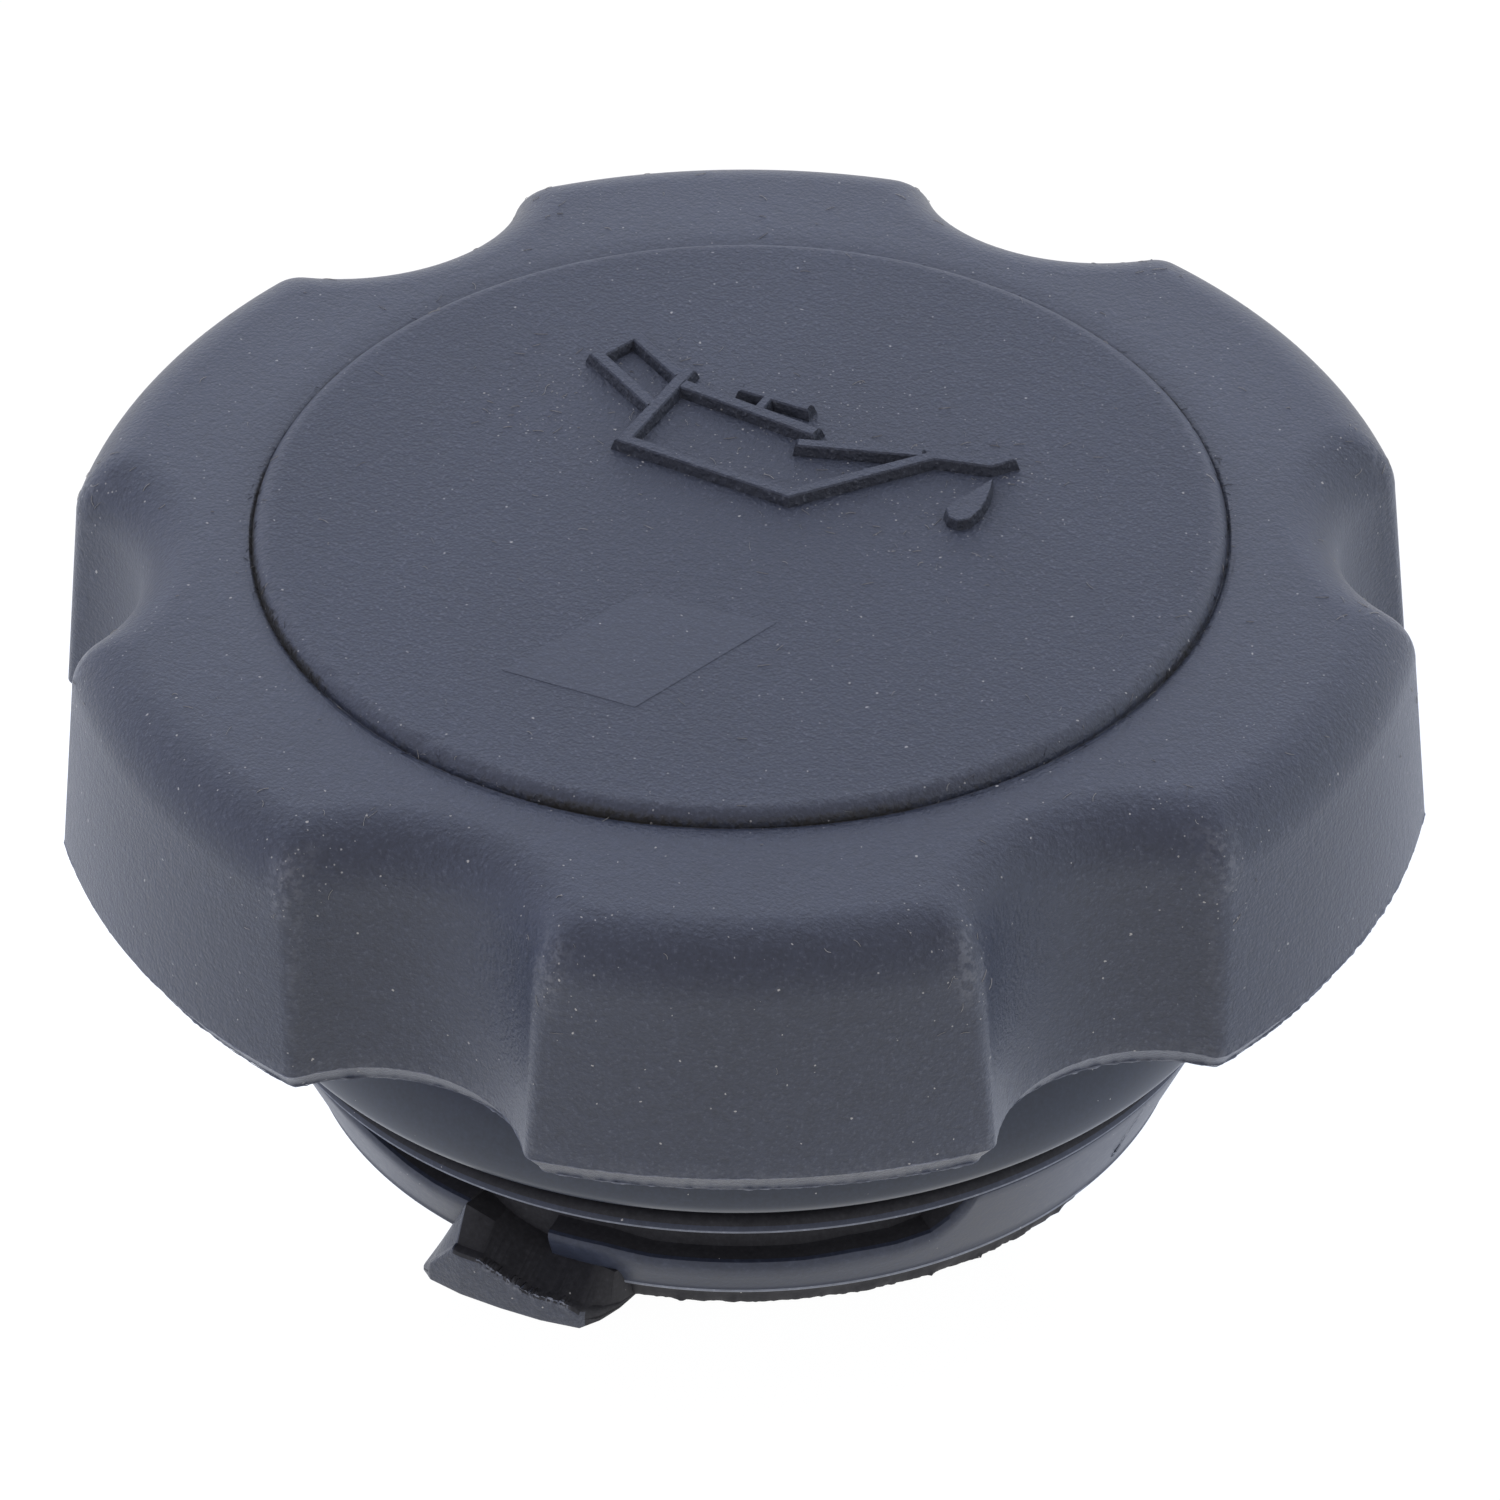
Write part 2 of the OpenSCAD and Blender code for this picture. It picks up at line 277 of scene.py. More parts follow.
# Painted shade in the disc's foot crease: a mask with a ragged edge that darkens the crease, where the real
# part is in shade
def makeCreaseShadeGroup():
    group, start, end = newGroup("ShaderNodeTree", "paintedCreaseShade", [
        ("Mask", "NodeSocketFloat", 0.0), ("Place", "NodeSocketVector", None),
        ("Scale", "NodeSocketFloat", 3200.0), ("Raggedness", "NodeSocketFloat", 1.4)], [
        ("Crease Shade", "NodeSocketFloat")])
    ragged = addNoise(group, start.outputs["Place"], start.outputs["Scale"], 3.0, 0.65)
    shift = addMath(group, "MULTIPLY", addMath(group, "SUBTRACT", ragged, 0.5), start.outputs["Raggedness"])
    edge = addRange(group, addMath(group, "ADD", start.outputs["Mask"], shift), 0.35, 0.95)
    present = addRange(group, start.outputs["Mask"], 0.02, 0.2)
    feed(group, addMath(group, "MULTIPLY", edge, present), end.inputs["Crease Shade"])
    return group


plasticPale = (0.20, 0.21, 0.24, 1)
dustColour = (0.47, 0.46, 0.45, 1)
# The near-black that paints the shade in the disc's foot crease
creaseShadeColour = (0.020, 0.019, 0.018, 1)
finishes = {
    "capPlastic": {
        "base": (0.032, 0.039, 0.062, 1), "pale": plasticPale, "grainScale": 5200.0, "patchScale": 60.0,
        "roughness": 0.38, "coarse": 0.12, "bump": 0.85, "bumpDepth": 0.00022, "speckle": 0.30, "wear": 0.55,
        "dustSize": 0.075, "dustShare": 0.5, "fineDust": 0.09, "gloss": 0.5},
    # A little darker and much less glossy than the cap plastic, with a smoother grain: the darkening is
    # painted shade, the floor in the cap's shadow as the cone mirrors it
    "spigotPlastic": {
        "base": (0.030, 0.036, 0.057, 1), "pale": plasticPale, "grainScale": 4200.0, "patchScale": 90.0,
        "roughness": 0.40, "coarse": 0.0, "bump": 0.3, "bumpDepth": 0.00008, "speckle": 0.10, "wear": 0.5,
        "dustSize": 0.07, "dustShare": 0.5, "fineDust": 0.06, "gloss": 0.28},
    "insertPlastic": {
        "base": (0.034, 0.041, 0.064, 1), "pale": plasticPale, "grainScale": 5200.0, "patchScale": 60.0,
        "roughness": 0.50, "coarse": 0.0, "bump": 0.5, "bumpDepth": 0.00018, "speckle": 0.18, "wear": 0.3,
        "dustSize": 0.075, "dustShare": 0.4, "fineDust": 0.05, "gloss": 0.5},
    "flashPlastic": {
        "base": (0.15, 0.165, 0.205, 1), "pale": (0.36, 0.37, 0.41, 1),
        "grainScale": 4000.0, "patchScale": 300.0,
        "roughness": 0.55, "coarse": 0.0, "bump": 0.3, "bumpDepth": 0.00004, "speckle": 0.5, "wear": 0.5,
        "dustSize": 0.07, "dustShare": 0.3, "fineDust": 0.0, "gloss": 0.5},
    "ringRubber": {
        "base": (0.019, 0.026, 0.044, 1), "pale": (0.12, 0.12, 0.13, 1),
        "grainScale": 5000.0, "patchScale": 90.0,
        "roughness": 0.36, "coarse": 0.0, "bump": 0.08, "bumpDepth": 0.00003, "speckle": 0.05, "wear": 0.4,
        "dustSize": 0.06, "dustShare": 0.35, "fineDust": 0.0, "gloss": 0.42},
    # Painted shade: a near-black plastic put where the real part is only in shade, on the spigot's pockets
    # and shoulder, the torn rim, the lugs' tops and ends and the fibres in the disc's foot crease
    "paintedShadePlastic": {
        "base": (0.034, 0.034, 0.038, 1), "pale": plasticPale, "grainScale": 4200.0, "patchScale": 90.0,
        "roughness": 0.60, "coarse": 0.0, "bump": 0.3, "bumpDepth": 0.00006, "speckle": 0.04, "wear": 0.3,
        "dustSize": 0.07, "dustShare": 0.4, "fineDust": 0.0, "gloss": 0.12},
    # Painted shade: a darker plastic for the steep sides of the raised sign, which on the real part are the
    # disc's own colour and only look darker in shade
    "signWallsPaintedShade": {
        "base": (0.027, 0.031, 0.044, 1), "pale": plasticPale, "grainScale": 3600.0, "patchScale": 300.0,
        "roughness": 0.55, "coarse": 0.0, "bump": 1.0, "bumpDepth": 0.0003, "speckle": 0.35, "wear": 0.3,
        "dustSize": 0.09, "dustShare": 0.5, "fineDust": 0.08, "gloss": 0.28},
    "dustFlakes": {
        "base": (0.36, 0.35, 0.33, 1), "pale": (0.62, 0.60, 0.56, 1),
        "grainScale": 2500.0, "patchScale": 900.0,
        "roughness": 0.85, "coarse": 0.0, "bump": 0.1, "bumpDepth": 0.00001, "speckle": 0.6, "wear": 0.0,
        "dustSize": 0.0, "dustShare": 0.0, "fineDust": 0.0, "gloss": 0.3},
}


def makeFinish(name, p, grain, rubbed, dust, creaseShadeGroup):
    material = bpy.data.materials.new(name)
    material.use_nodes = True
    tree = material.node_tree
    shader = tree.nodes["Principled BSDF"]
    place = tree.nodes.new("ShaderNodeTexCoord").outputs["Object"]
    texture = addNode(tree, "ShaderNodeGroup", {"node_tree": grain}, Place=place, Grain_Scale=p["grainScale"],
                      Patch_Scale=p["patchScale"])
    mask = addNode(tree, "ShaderNodeAttribute", {"attribute_name": "rubbed"}).outputs["Fac"]
    worn = addNode(tree, "ShaderNodeGroup", {"node_tree": rubbed}, Mask=mask, Place=place, Amount=p["wear"])
    patches = addRange(tree, texture.outputs["Patches"], 0.3, 0.7, 0.9, 1.1)
    coarse = addNode(tree, "ShaderNodeAttribute", {"attribute_name": "coarse"}).outputs["Fac"]
    grainy = addMath(tree, "MULTIPLY", p["speckle"], addRange(tree, coarse, 0.0, 1.0, 0.55, 1.0))
    speckled = addMath(tree, "MULTIPLY", texture.outputs["Speckle"], grainy)
    toned = addMix(tree, speckled, p["base"], p["pale"])
    uneven = addRange(tree, texture.outputs["Height"], 0.3, 0.7, 0.75, 1.25)
    mottle = addMath(tree, "MULTIPLY", patches, uneven)
    tinted = addMix(tree, 1.0, toned, mottle, "MULTIPLY")
    aged = addMix(tree, worn.outputs["Wear"], tinted, p["pale"])
    dusty = addNode(tree, "ShaderNodeAttribute", {"attribute_name": "dusty"}).outputs["Fac"]
    single = addNode(tree, "ShaderNodeGroup", {"node_tree": dust}, Place=place, Size=p["dustSize"],
                     Share=p["dustShare"]).outputs["Dust"]
    fineShare = addMath(tree, "MULTIPLY", dusty, p["fineDust"])
    crowd = addNode(tree, "ShaderNodeGroup", {"node_tree": dust}, Place=place, Cells=3600.0, Size=0.16,
                    Share=fineShare).outputs["Dust"]
    specks = addMath(tree, "MAXIMUM", single, addMath(tree, "MULTIPLY", crowd, 0.7))
    # Painted shade: the disc's foot crease darkened towards a near-black and made matt
    crease = addNode(tree, "ShaderNodeAttribute", {"attribute_name": "soiled"}).outputs["Fac"]
    soiled = addNode(tree, "ShaderNodeGroup", {"node_tree": creaseShadeGroup}, Mask=crease, Place=place).outputs["Crease Shade"]
    creaseShaded = addMix(tree, soiled, aged, creaseShadeColour)
    colour = addMix(tree, addMath(tree, "MULTIPLY", specks, 0.8), creaseShaded, dustColour)
    feed(tree, colour, shader.inputs["Base Color"])
    level = addMath(tree, "ADD", p["roughness"], addMath(tree, "MULTIPLY", coarse, p["coarse"]))
    rough = addMath(tree, "ADD", level, addRange(tree, texture.outputs["Height"], 0.3, 0.7, -0.05, 0.05))
    matt = addMath(tree, "MAXIMUM", specks, soiled)
    rough = addMath(tree, "MAXIMUM", rough, addMath(tree, "MULTIPLY", matt, 0.8))
    feed(tree, rough, shader.inputs["Roughness"])
    strength = addMath(tree, "MULTIPLY", p["bump"], addRange(tree, coarse, 0.0, 1.0, 0.6, 1.0))
    raised = addMath(tree, "ADD", texture.outputs["Height"], addMath(tree, "MULTIPLY", specks, 0.2))
    bump = addNode(tree, "ShaderNodeBump", Strength=strength, Distance=p["bumpDepth"], Height=raised)
    feed(tree, bump.outputs["Normal"], shader.inputs["Normal"])
    shader.inputs["Specular IOR Level"].default_value = p["gloss"]
    return material


# Mesh helpers

def gridShell(rows, closedRound=True, closedAlong=False):
    rows = np.asarray(rows, float)
    along, around = rows.shape[:2]
    index = np.arange(along * around).reshape(along, around)
    if closedRound:
        index = np.hstack([index, index[:, :1]])
    if closedAlong:
        index = np.vstack([index, index[:1]])
    corners = (index[:-1, :-1], index[:-1, 1:], index[1:, 1:], index[1:, :-1])
    return rows.reshape(-1, 3), np.stack(corners, axis=-1).reshape(-1, 4)


def makeMesh(name, points, faces, closed=True, mergeDistance=0.0005):
    mesh = bpy.data.meshes.new(name)
    mesh.from_pydata((np.asarray(points) * mm).tolist(), [], np.asarray(faces).tolist())
    shell = bmesh.new()
    shell.from_mesh(mesh)
    bmesh.ops.remove_doubles(shell, verts=shell.verts, dist=mergeDistance * mm)
    bmesh.ops.dissolve_degenerate(shell, edges=shell.edges, dist=mergeDistance * mm)
    if closed:
        bmesh.ops.recalc_face_normals(shell, faces=shell.faces)
    shell.to_mesh(mesh)
    shell.free()
    return mesh


def joinMeshes(name, parts, materials, sharpAngle=35):
    joined = bmesh.new()
    for mesh, material, *patches in parts:
        slots = np.full(len(mesh.polygons), materials.index(material), np.int32)
        for other, mask in patches:
            slots[mask] = materials.index(other)
        mesh.polygons.foreach_set("material_index", slots)
        joined.from_mesh(mesh)
    mesh = bpy.data.meshes.new(name)
    joined.to_mesh(mesh)
    joined.free()
    for material in materials:
        mesh.materials.append(material)
    mesh.shade_smooth()
    mesh.set_sharp_from_angle(angle=math.radians(sharpAngle))
    return mesh


def makePiece(name, mesh):
    piece = bpy.data.objects.new(name, mesh)
    scene.collection.objects.link(piece)
    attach(piece, "root")
    return piece


def getPoints(mesh):
    points = np.empty(len(mesh.vertices) * 3)
    mesh.vertices.foreach_get("co", points)
    return points.reshape(-1, 3) / mm


def faceNumbers(mesh, name):
    values = np.empty(len(mesh.polygons) * 3)
    mesh.polygons.foreach_get(name, values)
    return values.reshape(-1, 3)


def setPoints(mesh, points):
    mesh.vertices.foreach_set("co", (points * mm).ravel())
    mesh.update()


def arcPoints(centre, radius, start, end, steps, first=0):
    turn = np.radians(start + (end - start) * np.arange(first, steps + 1) / steps)
    return np.column_stack([centre[0] + radius * np.cos(turn), centre[1] + radius * np.sin(turn)])


def revolve(profile, steps):
    turn = np.linspace(0, 2 * math.pi, steps, endpoint=False)
    rows = [np.column_stack([r * np.cos(turn), r * np.sin(turn), np.full(steps, z)]) for r, z in profile]
    return gridShell(rows, True, True)


def smoothStep(t):
    t = np.clip(t, 0, 1)
    return t * t * (3 - 2 * t)


def bell(value, middle, reach):
    return np.exp(-((value - middle) / reach) ** 2)


def roundNoise(turn, cells, seed):
    values = np.random.default_rng(seed).random(cells)
    at = (turn / (2 * math.pi) % 1) * cells
    low = np.floor(at).astype(int)
    t = smoothStep(at - low)
    return values[low % cells] * (1 - t) + values[(low + 1) % cells] * t


# Geometry Nodes trees

def applyTree(mesh, tree, values):
    carrier = bpy.data.objects.new("carrier", mesh)
    scene.collection.objects.link(carrier)
    modifier = carrier.modifiers.new("nodes", "NODES")
    modifier.node_group = tree
    for item in tree.interface.items_tree:
        if item.item_type == "SOCKET" and item.in_out == "INPUT" and item.name in values:
            modifier[item.identifier] = values[item.name]
    shown = carrier.evaluated_get(bpy.context.evaluated_depsgraph_get())
    result = bpy.data.meshes.new_from_object(shown)
    bpy.data.objects.remove(carrier)
    return result


def finishTree(tree, shape, start, end):
    final = addNode(tree, "GeometryNodeSetMaterial", Geometry=shape, Material=start.outputs["Material"])
    feed(tree, final.outputs[0], end.inputs["Geometry"])


def makeTurnedCopies():
    tree, start, end = newGroup("GeometryNodeTree", "turnedCopies", [
        ("Geometry", "NodeSocketGeometry", None), ("Copies", "NodeSocketInt", 6),
        ("Merge Distance", "NodeSocketFloat", 0.000002), ("Material", "NodeSocketMaterial", None)], [
        ("Geometry", "NodeSocketGeometry")])
    copies = start.outputs["Copies"]
    index = addNode(tree, "GeometryNodeInputIndex").outputs[0]
    turn = addMath(tree, "MULTIPLY", index, addMath(tree, "DIVIDE", 2 * math.pi, copies))
    euler = addNode(tree, "ShaderNodeCombineXYZ", Z=turn).outputs[0]
    rotation = addNode(tree, "FunctionNodeEulerToRotation", Euler=euler).outputs[0]
    points = addNode(tree, "GeometryNodePoints", Count=copies).outputs[0]
    placed = addNode(tree, "GeometryNodeInstanceOnPoints", Points=points, Instance=start.outputs["Geometry"],
                     Rotation=rotation).outputs[0]
    real = addNode(tree, "GeometryNodeRealizeInstances", Geometry=placed).outputs[0]
    merged = addNode(tree, "GeometryNodeMergeByDistance", Geometry=real,
                     Distance=start.outputs["Merge Distance"]).outputs[0]
    finishTree(tree, merged, start, end)
    return tree


def makeFlashTree():
    tree, start, end = newGroup("GeometryNodeTree", "flashAlongEdge", [
        ("Geometry", "NodeSocketGeometry", None), ("Steps", "NodeSocketInt", 1800),
        ("Thickness", "NodeSocketFloat", 0.0001), ("Raggedness", "NodeSocketFloat", 0.0001),
        ("Noise Scale", "NodeSocketFloat", 900.0), ("Material", "NodeSocketMaterial", None)], [
        ("Geometry", "NodeSocketGeometry")])
    path = addNode(tree, "GeometryNodeMeshToCurve", Mesh=start.outputs["Geometry"]).outputs[0]
    path = addNode(tree, "GeometryNodeResampleCurve", Curve=path, Count=start.outputs["Steps"]).outputs[0]
    place = addNode(tree, "GeometryNodeInputPosition").outputs[0]
    rough = addNoise(tree, place, start.outputs["Noise Scale"], 3.0, 0.6)
    slow = addNoise(tree, place, addMath(tree, "MULTIPLY", start.outputs["Noise Scale"], 0.12), 2.0, 0.5)
    swell = addMath(tree, "MULTIPLY", addRange(tree, rough, 0.35, 0.75, 0.35, 1.3),
                    addRange(tree, slow, 0.4, 0.62, 0.3, 1.1))
    ring = addNode(tree, "GeometryNodeCurvePrimitiveCircle", Resolution=4,
                   Radius=start.outputs["Thickness"]).outputs[0]
    strip = addNode(tree, "GeometryNodeCurveToMesh", Curve=path, Profile_Curve=ring, Scale=swell,
                    Fill_Caps=True).outputs[0]
    shift = addNode(tree, "ShaderNodeTexNoise", Vector=place, Scale=start.outputs["Noise Scale"], Detail=2.0)
    centred = addNode(tree, "ShaderNodeVectorMath", {"operation": "SUBTRACT"})
    feed(tree, shift.outputs["Color"], centred.inputs[0])
    centred.inputs[1].default_value = (0.5, 0.5, 0.5)
    offset = addNode(tree, "ShaderNodeVectorMath", {"operation": "SCALE"}, Scale=start.outputs["Raggedness"])
    feed(tree, centred.outputs[0], offset.inputs[0])
    moved = addNode(tree, "GeometryNodeSetPosition", Geometry=strip, Offset=offset.outputs[0]).outputs[0]
    real = addNode(tree, "GeometryNodeRealizeInstances", Geometry=moved).outputs[0]
    finishTree(tree, real, start, end)
    return tree


def makeFibreTree():
    tree, start, end = newGroup("GeometryNodeTree", "scatteredFibres", [
        ("Geometry", "NodeSocketGeometry", None), ("Density", "NodeSocketFloat", 20000.0),
        ("Length", "NodeSocketFloat", 0.0004), ("Thickness", "NodeSocketFloat", 0.00002),
        ("Mask Name", "NodeSocketString", "dusty"), ("Seed", "NodeSocketInt", 5),
        ("Material", "NodeSocketMaterial", None)], [
        ("Geometry", "NodeSocketGeometry")])
    seed = start.outputs["Seed"]
    mask = addNode(tree, "GeometryNodeInputNamedAttribute", Name=start.outputs["Mask Name"])
    density = addMath(tree, "MULTIPLY", start.outputs["Density"], mask.outputs["Attribute"])
    spread = addNode(tree, "GeometryNodeDistributePointsOnFaces", Mesh=start.outputs["Geometry"],
                     Density=density, Seed=seed)

    def randomValue(low, high, shift):
        return addNode(tree, "FunctionNodeRandomValue", {"data_type": "FLOAT"}, Min=low, Max=high,
                       Seed=addMath(tree, "ADD", seed, shift)).outputs[1]

    half = addMath(tree, "MULTIPLY", start.outputs["Length"], 0.5)
    bow = addNode(tree, "GeometryNodeCurveQuadraticBezier", Resolution=3)
    for label, x in (("Start", addMath(tree, "MULTIPLY", half, -1.0)), ("End", half)):
        feed(tree, addNode(tree, "ShaderNodeCombineXYZ", X=x).outputs[0], bow.inputs[label])
    middle = addNode(tree, "ShaderNodeCombineXYZ", Y=half, Z=addMath(tree, "MULTIPLY", half, 0.3)).outputs[0]
    feed(tree, middle, bow.inputs["Middle"])
    ring = addNode(tree, "GeometryNodeCurvePrimitiveCircle", Resolution=3,
                   Radius=start.outputs["Thickness"]).outputs[0]
    hair = addNode(tree, "GeometryNodeCurveToMesh", Curve=bow.outputs[0], Profile_Curve=ring,
                   Fill_Caps=True).outputs[0]
    turn = addNode(tree, "ShaderNodeCombineXYZ", Z=randomValue(0.0, 2 * math.pi, 1)).outputs[0]
    spin = addNode(tree, "FunctionNodeEulerToRotation", Euler=turn).outputs[0]
    rotation = addNode(tree, "FunctionNodeRotateRotation", {"rotation_space": "LOCAL"},
                       Rotation=spread.outputs["Rotation"], Rotate_By=spin).outputs[0]
    size = addNode(tree, "ShaderNodeCombineXYZ", X=randomValue(0.3, 1.5, 2), Y=randomValue(-0.6, 0.6, 3),
                   Z=1.0).outputs[0]
    placed = addNode(tree, "GeometryNodeInstanceOnPoints", Points=spread.outputs["Points"], Instance=hair,
                     Rotation=rotation, Scale=size).outputs[0]
    real = addNode(tree, "GeometryNodeRealizeInstances", Geometry=placed).outputs[0]
    finishTree(tree, real, start, end)
    return tree


# The grip: one lobe as a grid of rows, from the ceiling's middle down the inside, round the lower edge,
# up the outside and over the top to the middle of the disc. Each point of the crease is a reach past footR
# and a height over creaseZ

grip = {
    "lobes": 6, "lobeR": 33.0, "lobeArcR": 32.6, "scallopDepth": 3.95, "scallopR": 7.4,
    "cornerLowR": 0.7, "cornerHighR": 1.3, "cornerInsideR": 1.2,
    "skirtZ": 16.4, "partingZ": 17.7, "rimInset": 0.7, "wallT": 2.3, "innerDraft": 1.0, "ceilingZ": 27.85,
    "sideDraft": 3.5, "topEdgeR": 3.25, "crownSlope": 2.3, "footR": 23.1, "footZ": 30.6,
    "creaseZ": 30.34, "discR": 22.2, "discZ": 31.2, "collarR": 24.7,
    "ceilingR": 0.8, "innerEdgeR": 0.25, "outerEdgeR": 0.3, "dip": 0.13, "dipReach": 0.8,
    "crease": ((0.35, 0.15), (0.16, 0.12), (0.06, 0.05), (0.0, 0.0)), "gapR": 0.03, "gapZ": 0.02,
    "lobeSteps": 12, "cornerSteps": 8, "scallopSteps": 13,
}


def lobeLine(g, inset, cornerR):
    half = math.pi / g["lobes"]
    lobeC = np.array([g["lobeR"] - g["lobeArcR"], 0.0])
    scallopC = (g["lobeR"] - g["scallopDepth"] + g["scallopR"]) * np.array([math.cos(half), math.sin(half)])
    reach = scallopC - lobeC
    d = np.linalg.norm(reach)
    u = reach / d
    a = g["lobeArcR"] - inset - cornerR
    b = g["scallopR"] + inset + cornerR
    along = (a * a - b * b + d * d) / (2 * d)
    cornerC = lobeC + along * u + math.sqrt(max(a * a - along * along, 0)) * np.array([u[1], -u[0]])
    outward = math.degrees(math.atan2(*(cornerC - lobeC)[::-1]))
    across = math.degrees(math.atan2(*(scallopC - cornerC)[::-1]))
    line = np.vstack([
        arcPoints(lobeC, g["lobeArcR"] - inset, 0, outward, g["lobeSteps"]),
        arcPoints(cornerC, cornerR, outward, across, g["cornerSteps"], 1),
        arcPoints(scallopC, g["scallopR"] + inset, across - 180, math.degrees(half) - 180,
                  g["scallopSteps"], 1)])
    return np.vstack([line[:0:-1] * (1, -1), line])


def gripRows(g):
    rows = []

    def lobed(inset, cornerR, z):
        line = lobeLine(g, inset, cornerR)
        rows.append(np.column_stack([line, np.broadcast_to(z, len(line))]))

    def level(r, z):
        rows.append(np.column_stack([r * np.cos(turn), r * np.sin(turn), np.full(len(turn), z)]))

    wallH = g["footZ"] - g["topEdgeR"] - g["partingZ"]
    sideInset = wallH * math.tan(math.radians(g["sideDraft"]))
    topLine = lobeLine(g, sideInset + g["topEdgeR"], g["cornerHighR"])
    turn = np.arctan2(topLine[:, 1], topLine[:, 0])
    slope = math.tan(math.radians(g["crownSlope"]))
    topZ = g["footZ"] - (np.hypot(*topLine.T) - g["footR"]) * slope
    innerSlope = math.tan(math.radians(g["innerDraft"]))
    ceilingInset = g["wallT"] + (g["ceilingZ"] - g["skirtZ"]) * innerSlope
    level(0.0, g["ceilingZ"])
    level(g["collarR"], g["ceilingZ"])
    e = g["ceilingR"]
    for t in np.radians((0, 22.5, 45, 67.5, 90)):
        inset = ceilingInset + e * (1 - math.sin(t))
        lobed(inset, g["cornerInsideR"], g["ceilingZ"] - e * (1 - math.cos(t)))
    for z in (24.0, 20.5):
        lobed(g["wallT"] + (z - g["skirtZ"]) * innerSlope, g["cornerInsideR"], z)
    e = g["innerEdgeR"]
    for t in np.radians((0, 30, 60, 90)):
        lobed(g["wallT"] - e * (1 - math.cos(t)), g["cornerInsideR"], g["skirtZ"] + e * (1 - math.sin(t)))
    e = g["outerEdgeR"]
    for t in np.radians((0, 30, 60, 90)):
        lobed(g["rimInset"] + e * (1 - math.sin(t)), g["cornerLowR"], g["skirtZ"] + e * (1 - math.cos(t)))
    for t in (0.33, 0.66, 0.92):
        z = g["skirtZ"] + e + (g["partingZ"] - g["skirtZ"] - e) * t
        lobed(g["rimInset"] * (1 - t), g["cornerLowR"], z)
    for t in np.linspace(0, 1, 12):
        z = g["partingZ"] + (topZ - g["topEdgeR"] - g["partingZ"]) * t
        lobed(sideInset * t, g["cornerLowR"] + (g["cornerHighR"] - g["cornerLowR"]) * t, z)
    for t in np.radians(np.linspace(0, 90, 17)[1:]):
        inset = sideInset + g["topEdgeR"] * (1 - math.cos(t))
        lobed(inset, g["cornerHighR"], topZ - g["topEdgeR"] * (1 - math.sin(t)))
    ring = g["footR"] * np.column_stack([np.cos(turn), np.sin(turn)])
    for t in (0.2, 0.4, 0.55, 0.7, 0.8, 0.88, 0.94):
        line = topLine * (1 - t) + ring * t
        out = np.hypot(*line.T) - g["footR"]
        z = g["footZ"] - out * slope - g["dip"] * bell(out, 0, g["dipReach"])
        rows.append(np.column_stack([line, z]))
    for r, z in g["crease"]:
        level(g["footR"] + r, g["creaseZ"] + z)
    edgeR = g["footR"] - g["gapR"] - g["discR"]
    lowZ = g["creaseZ"] + g["gapZ"]
    for t in np.radians((0, 12, 25, 38, 50, 60, 69, 77, 84, 90)):
        level(g["discR"] + edgeR * math.cos(t), lowZ + (g["discZ"] - lowZ) * math.sin(t))
    for r in (21.7, 21.0, 18.0, 14.0, 10.0, 6.0, 2.5, 0.0):
        level(r, g["discZ"])
    return rows


# Ribs between the collar and the skirt, in each lobe

ribs = {"count": 3, "step": 13.0, "thick": 1.4, "thickRoot": 1.7, "innerR": 24.7, "outerR": 31.85,
        "lowZ": 17.9, "rootZ": 28.4, "edgeR": 0.2}


def ribRows(r, turn):
    rows = []
    e = r["edgeR"]
    for radius in (r["innerR"], r["outerR"]):
        half, root = r["thick"] / 2, r["thickRoot"] / 2
        section = [(-root, r["rootZ"]), (-half, r["lowZ"] + e), (-half + 0.3 * e, r["lowZ"] + 0.3 * e),
                   (-half + e, r["lowZ"]), (half - e, r["lowZ"]), (half - 0.3 * e, r["lowZ"] + 0.3 * e),
                   (half, r["lowZ"] + e), (root, r["rootZ"])]
        rows.append([(radius, y, z) for y, z in section])
    rows = [[(r["innerR"], 0, 24.0)] * 8] + rows + [[(r["outerR"], 0, 24.0)] * 8]
    rows = np.asarray(rows, float)
    c, s = math.cos(turn), math.sin(turn)
    x, y, z = rows[..., 0], rows[..., 1], rows[..., 2]
    return np.stack([x * c - y * s, x * s + y * c, z], -1)


# The collar that bears on the sealing ring's top, and the top's thicker middle

collar = {
    "outerR": 25.6, "innerR": 23.8, "lowZ": 14.3, "rootZ": 28.4, "bossZ": 27.45, "bossR": 0.5, "edgeR": 0.15,
    "steps": 360,
}


def collarProfile(c):
    e = c["edgeR"]
    b = c["bossR"]
    return [(c["outerR"], c["rootZ"]), (0.0, c["rootZ"]), (0.0, c["bossZ"]), (c["innerR"] - b, c["bossZ"]),
            (c["innerR"] - 0.3 * b, c["bossZ"] - 0.3 * b), (c["innerR"], c["bossZ"] - b),
            (c["innerR"], c["lowZ"] + e), (c["innerR"] + e, c["lowZ"]), (c["outerR"] - e, c["lowZ"]),
            (c["outerR"], c["lowZ"] + e)]


# The spigot: a profile at each angle, with a lip whose height follows the bayonet pockets. lipTurn is in
# degrees from a lug's middle. A point of the bead is a reach past footR and a height, one of guideFoot is
# a reach past guideR and a height over guideZ, and one of guideTop is a reach and a depth under the top

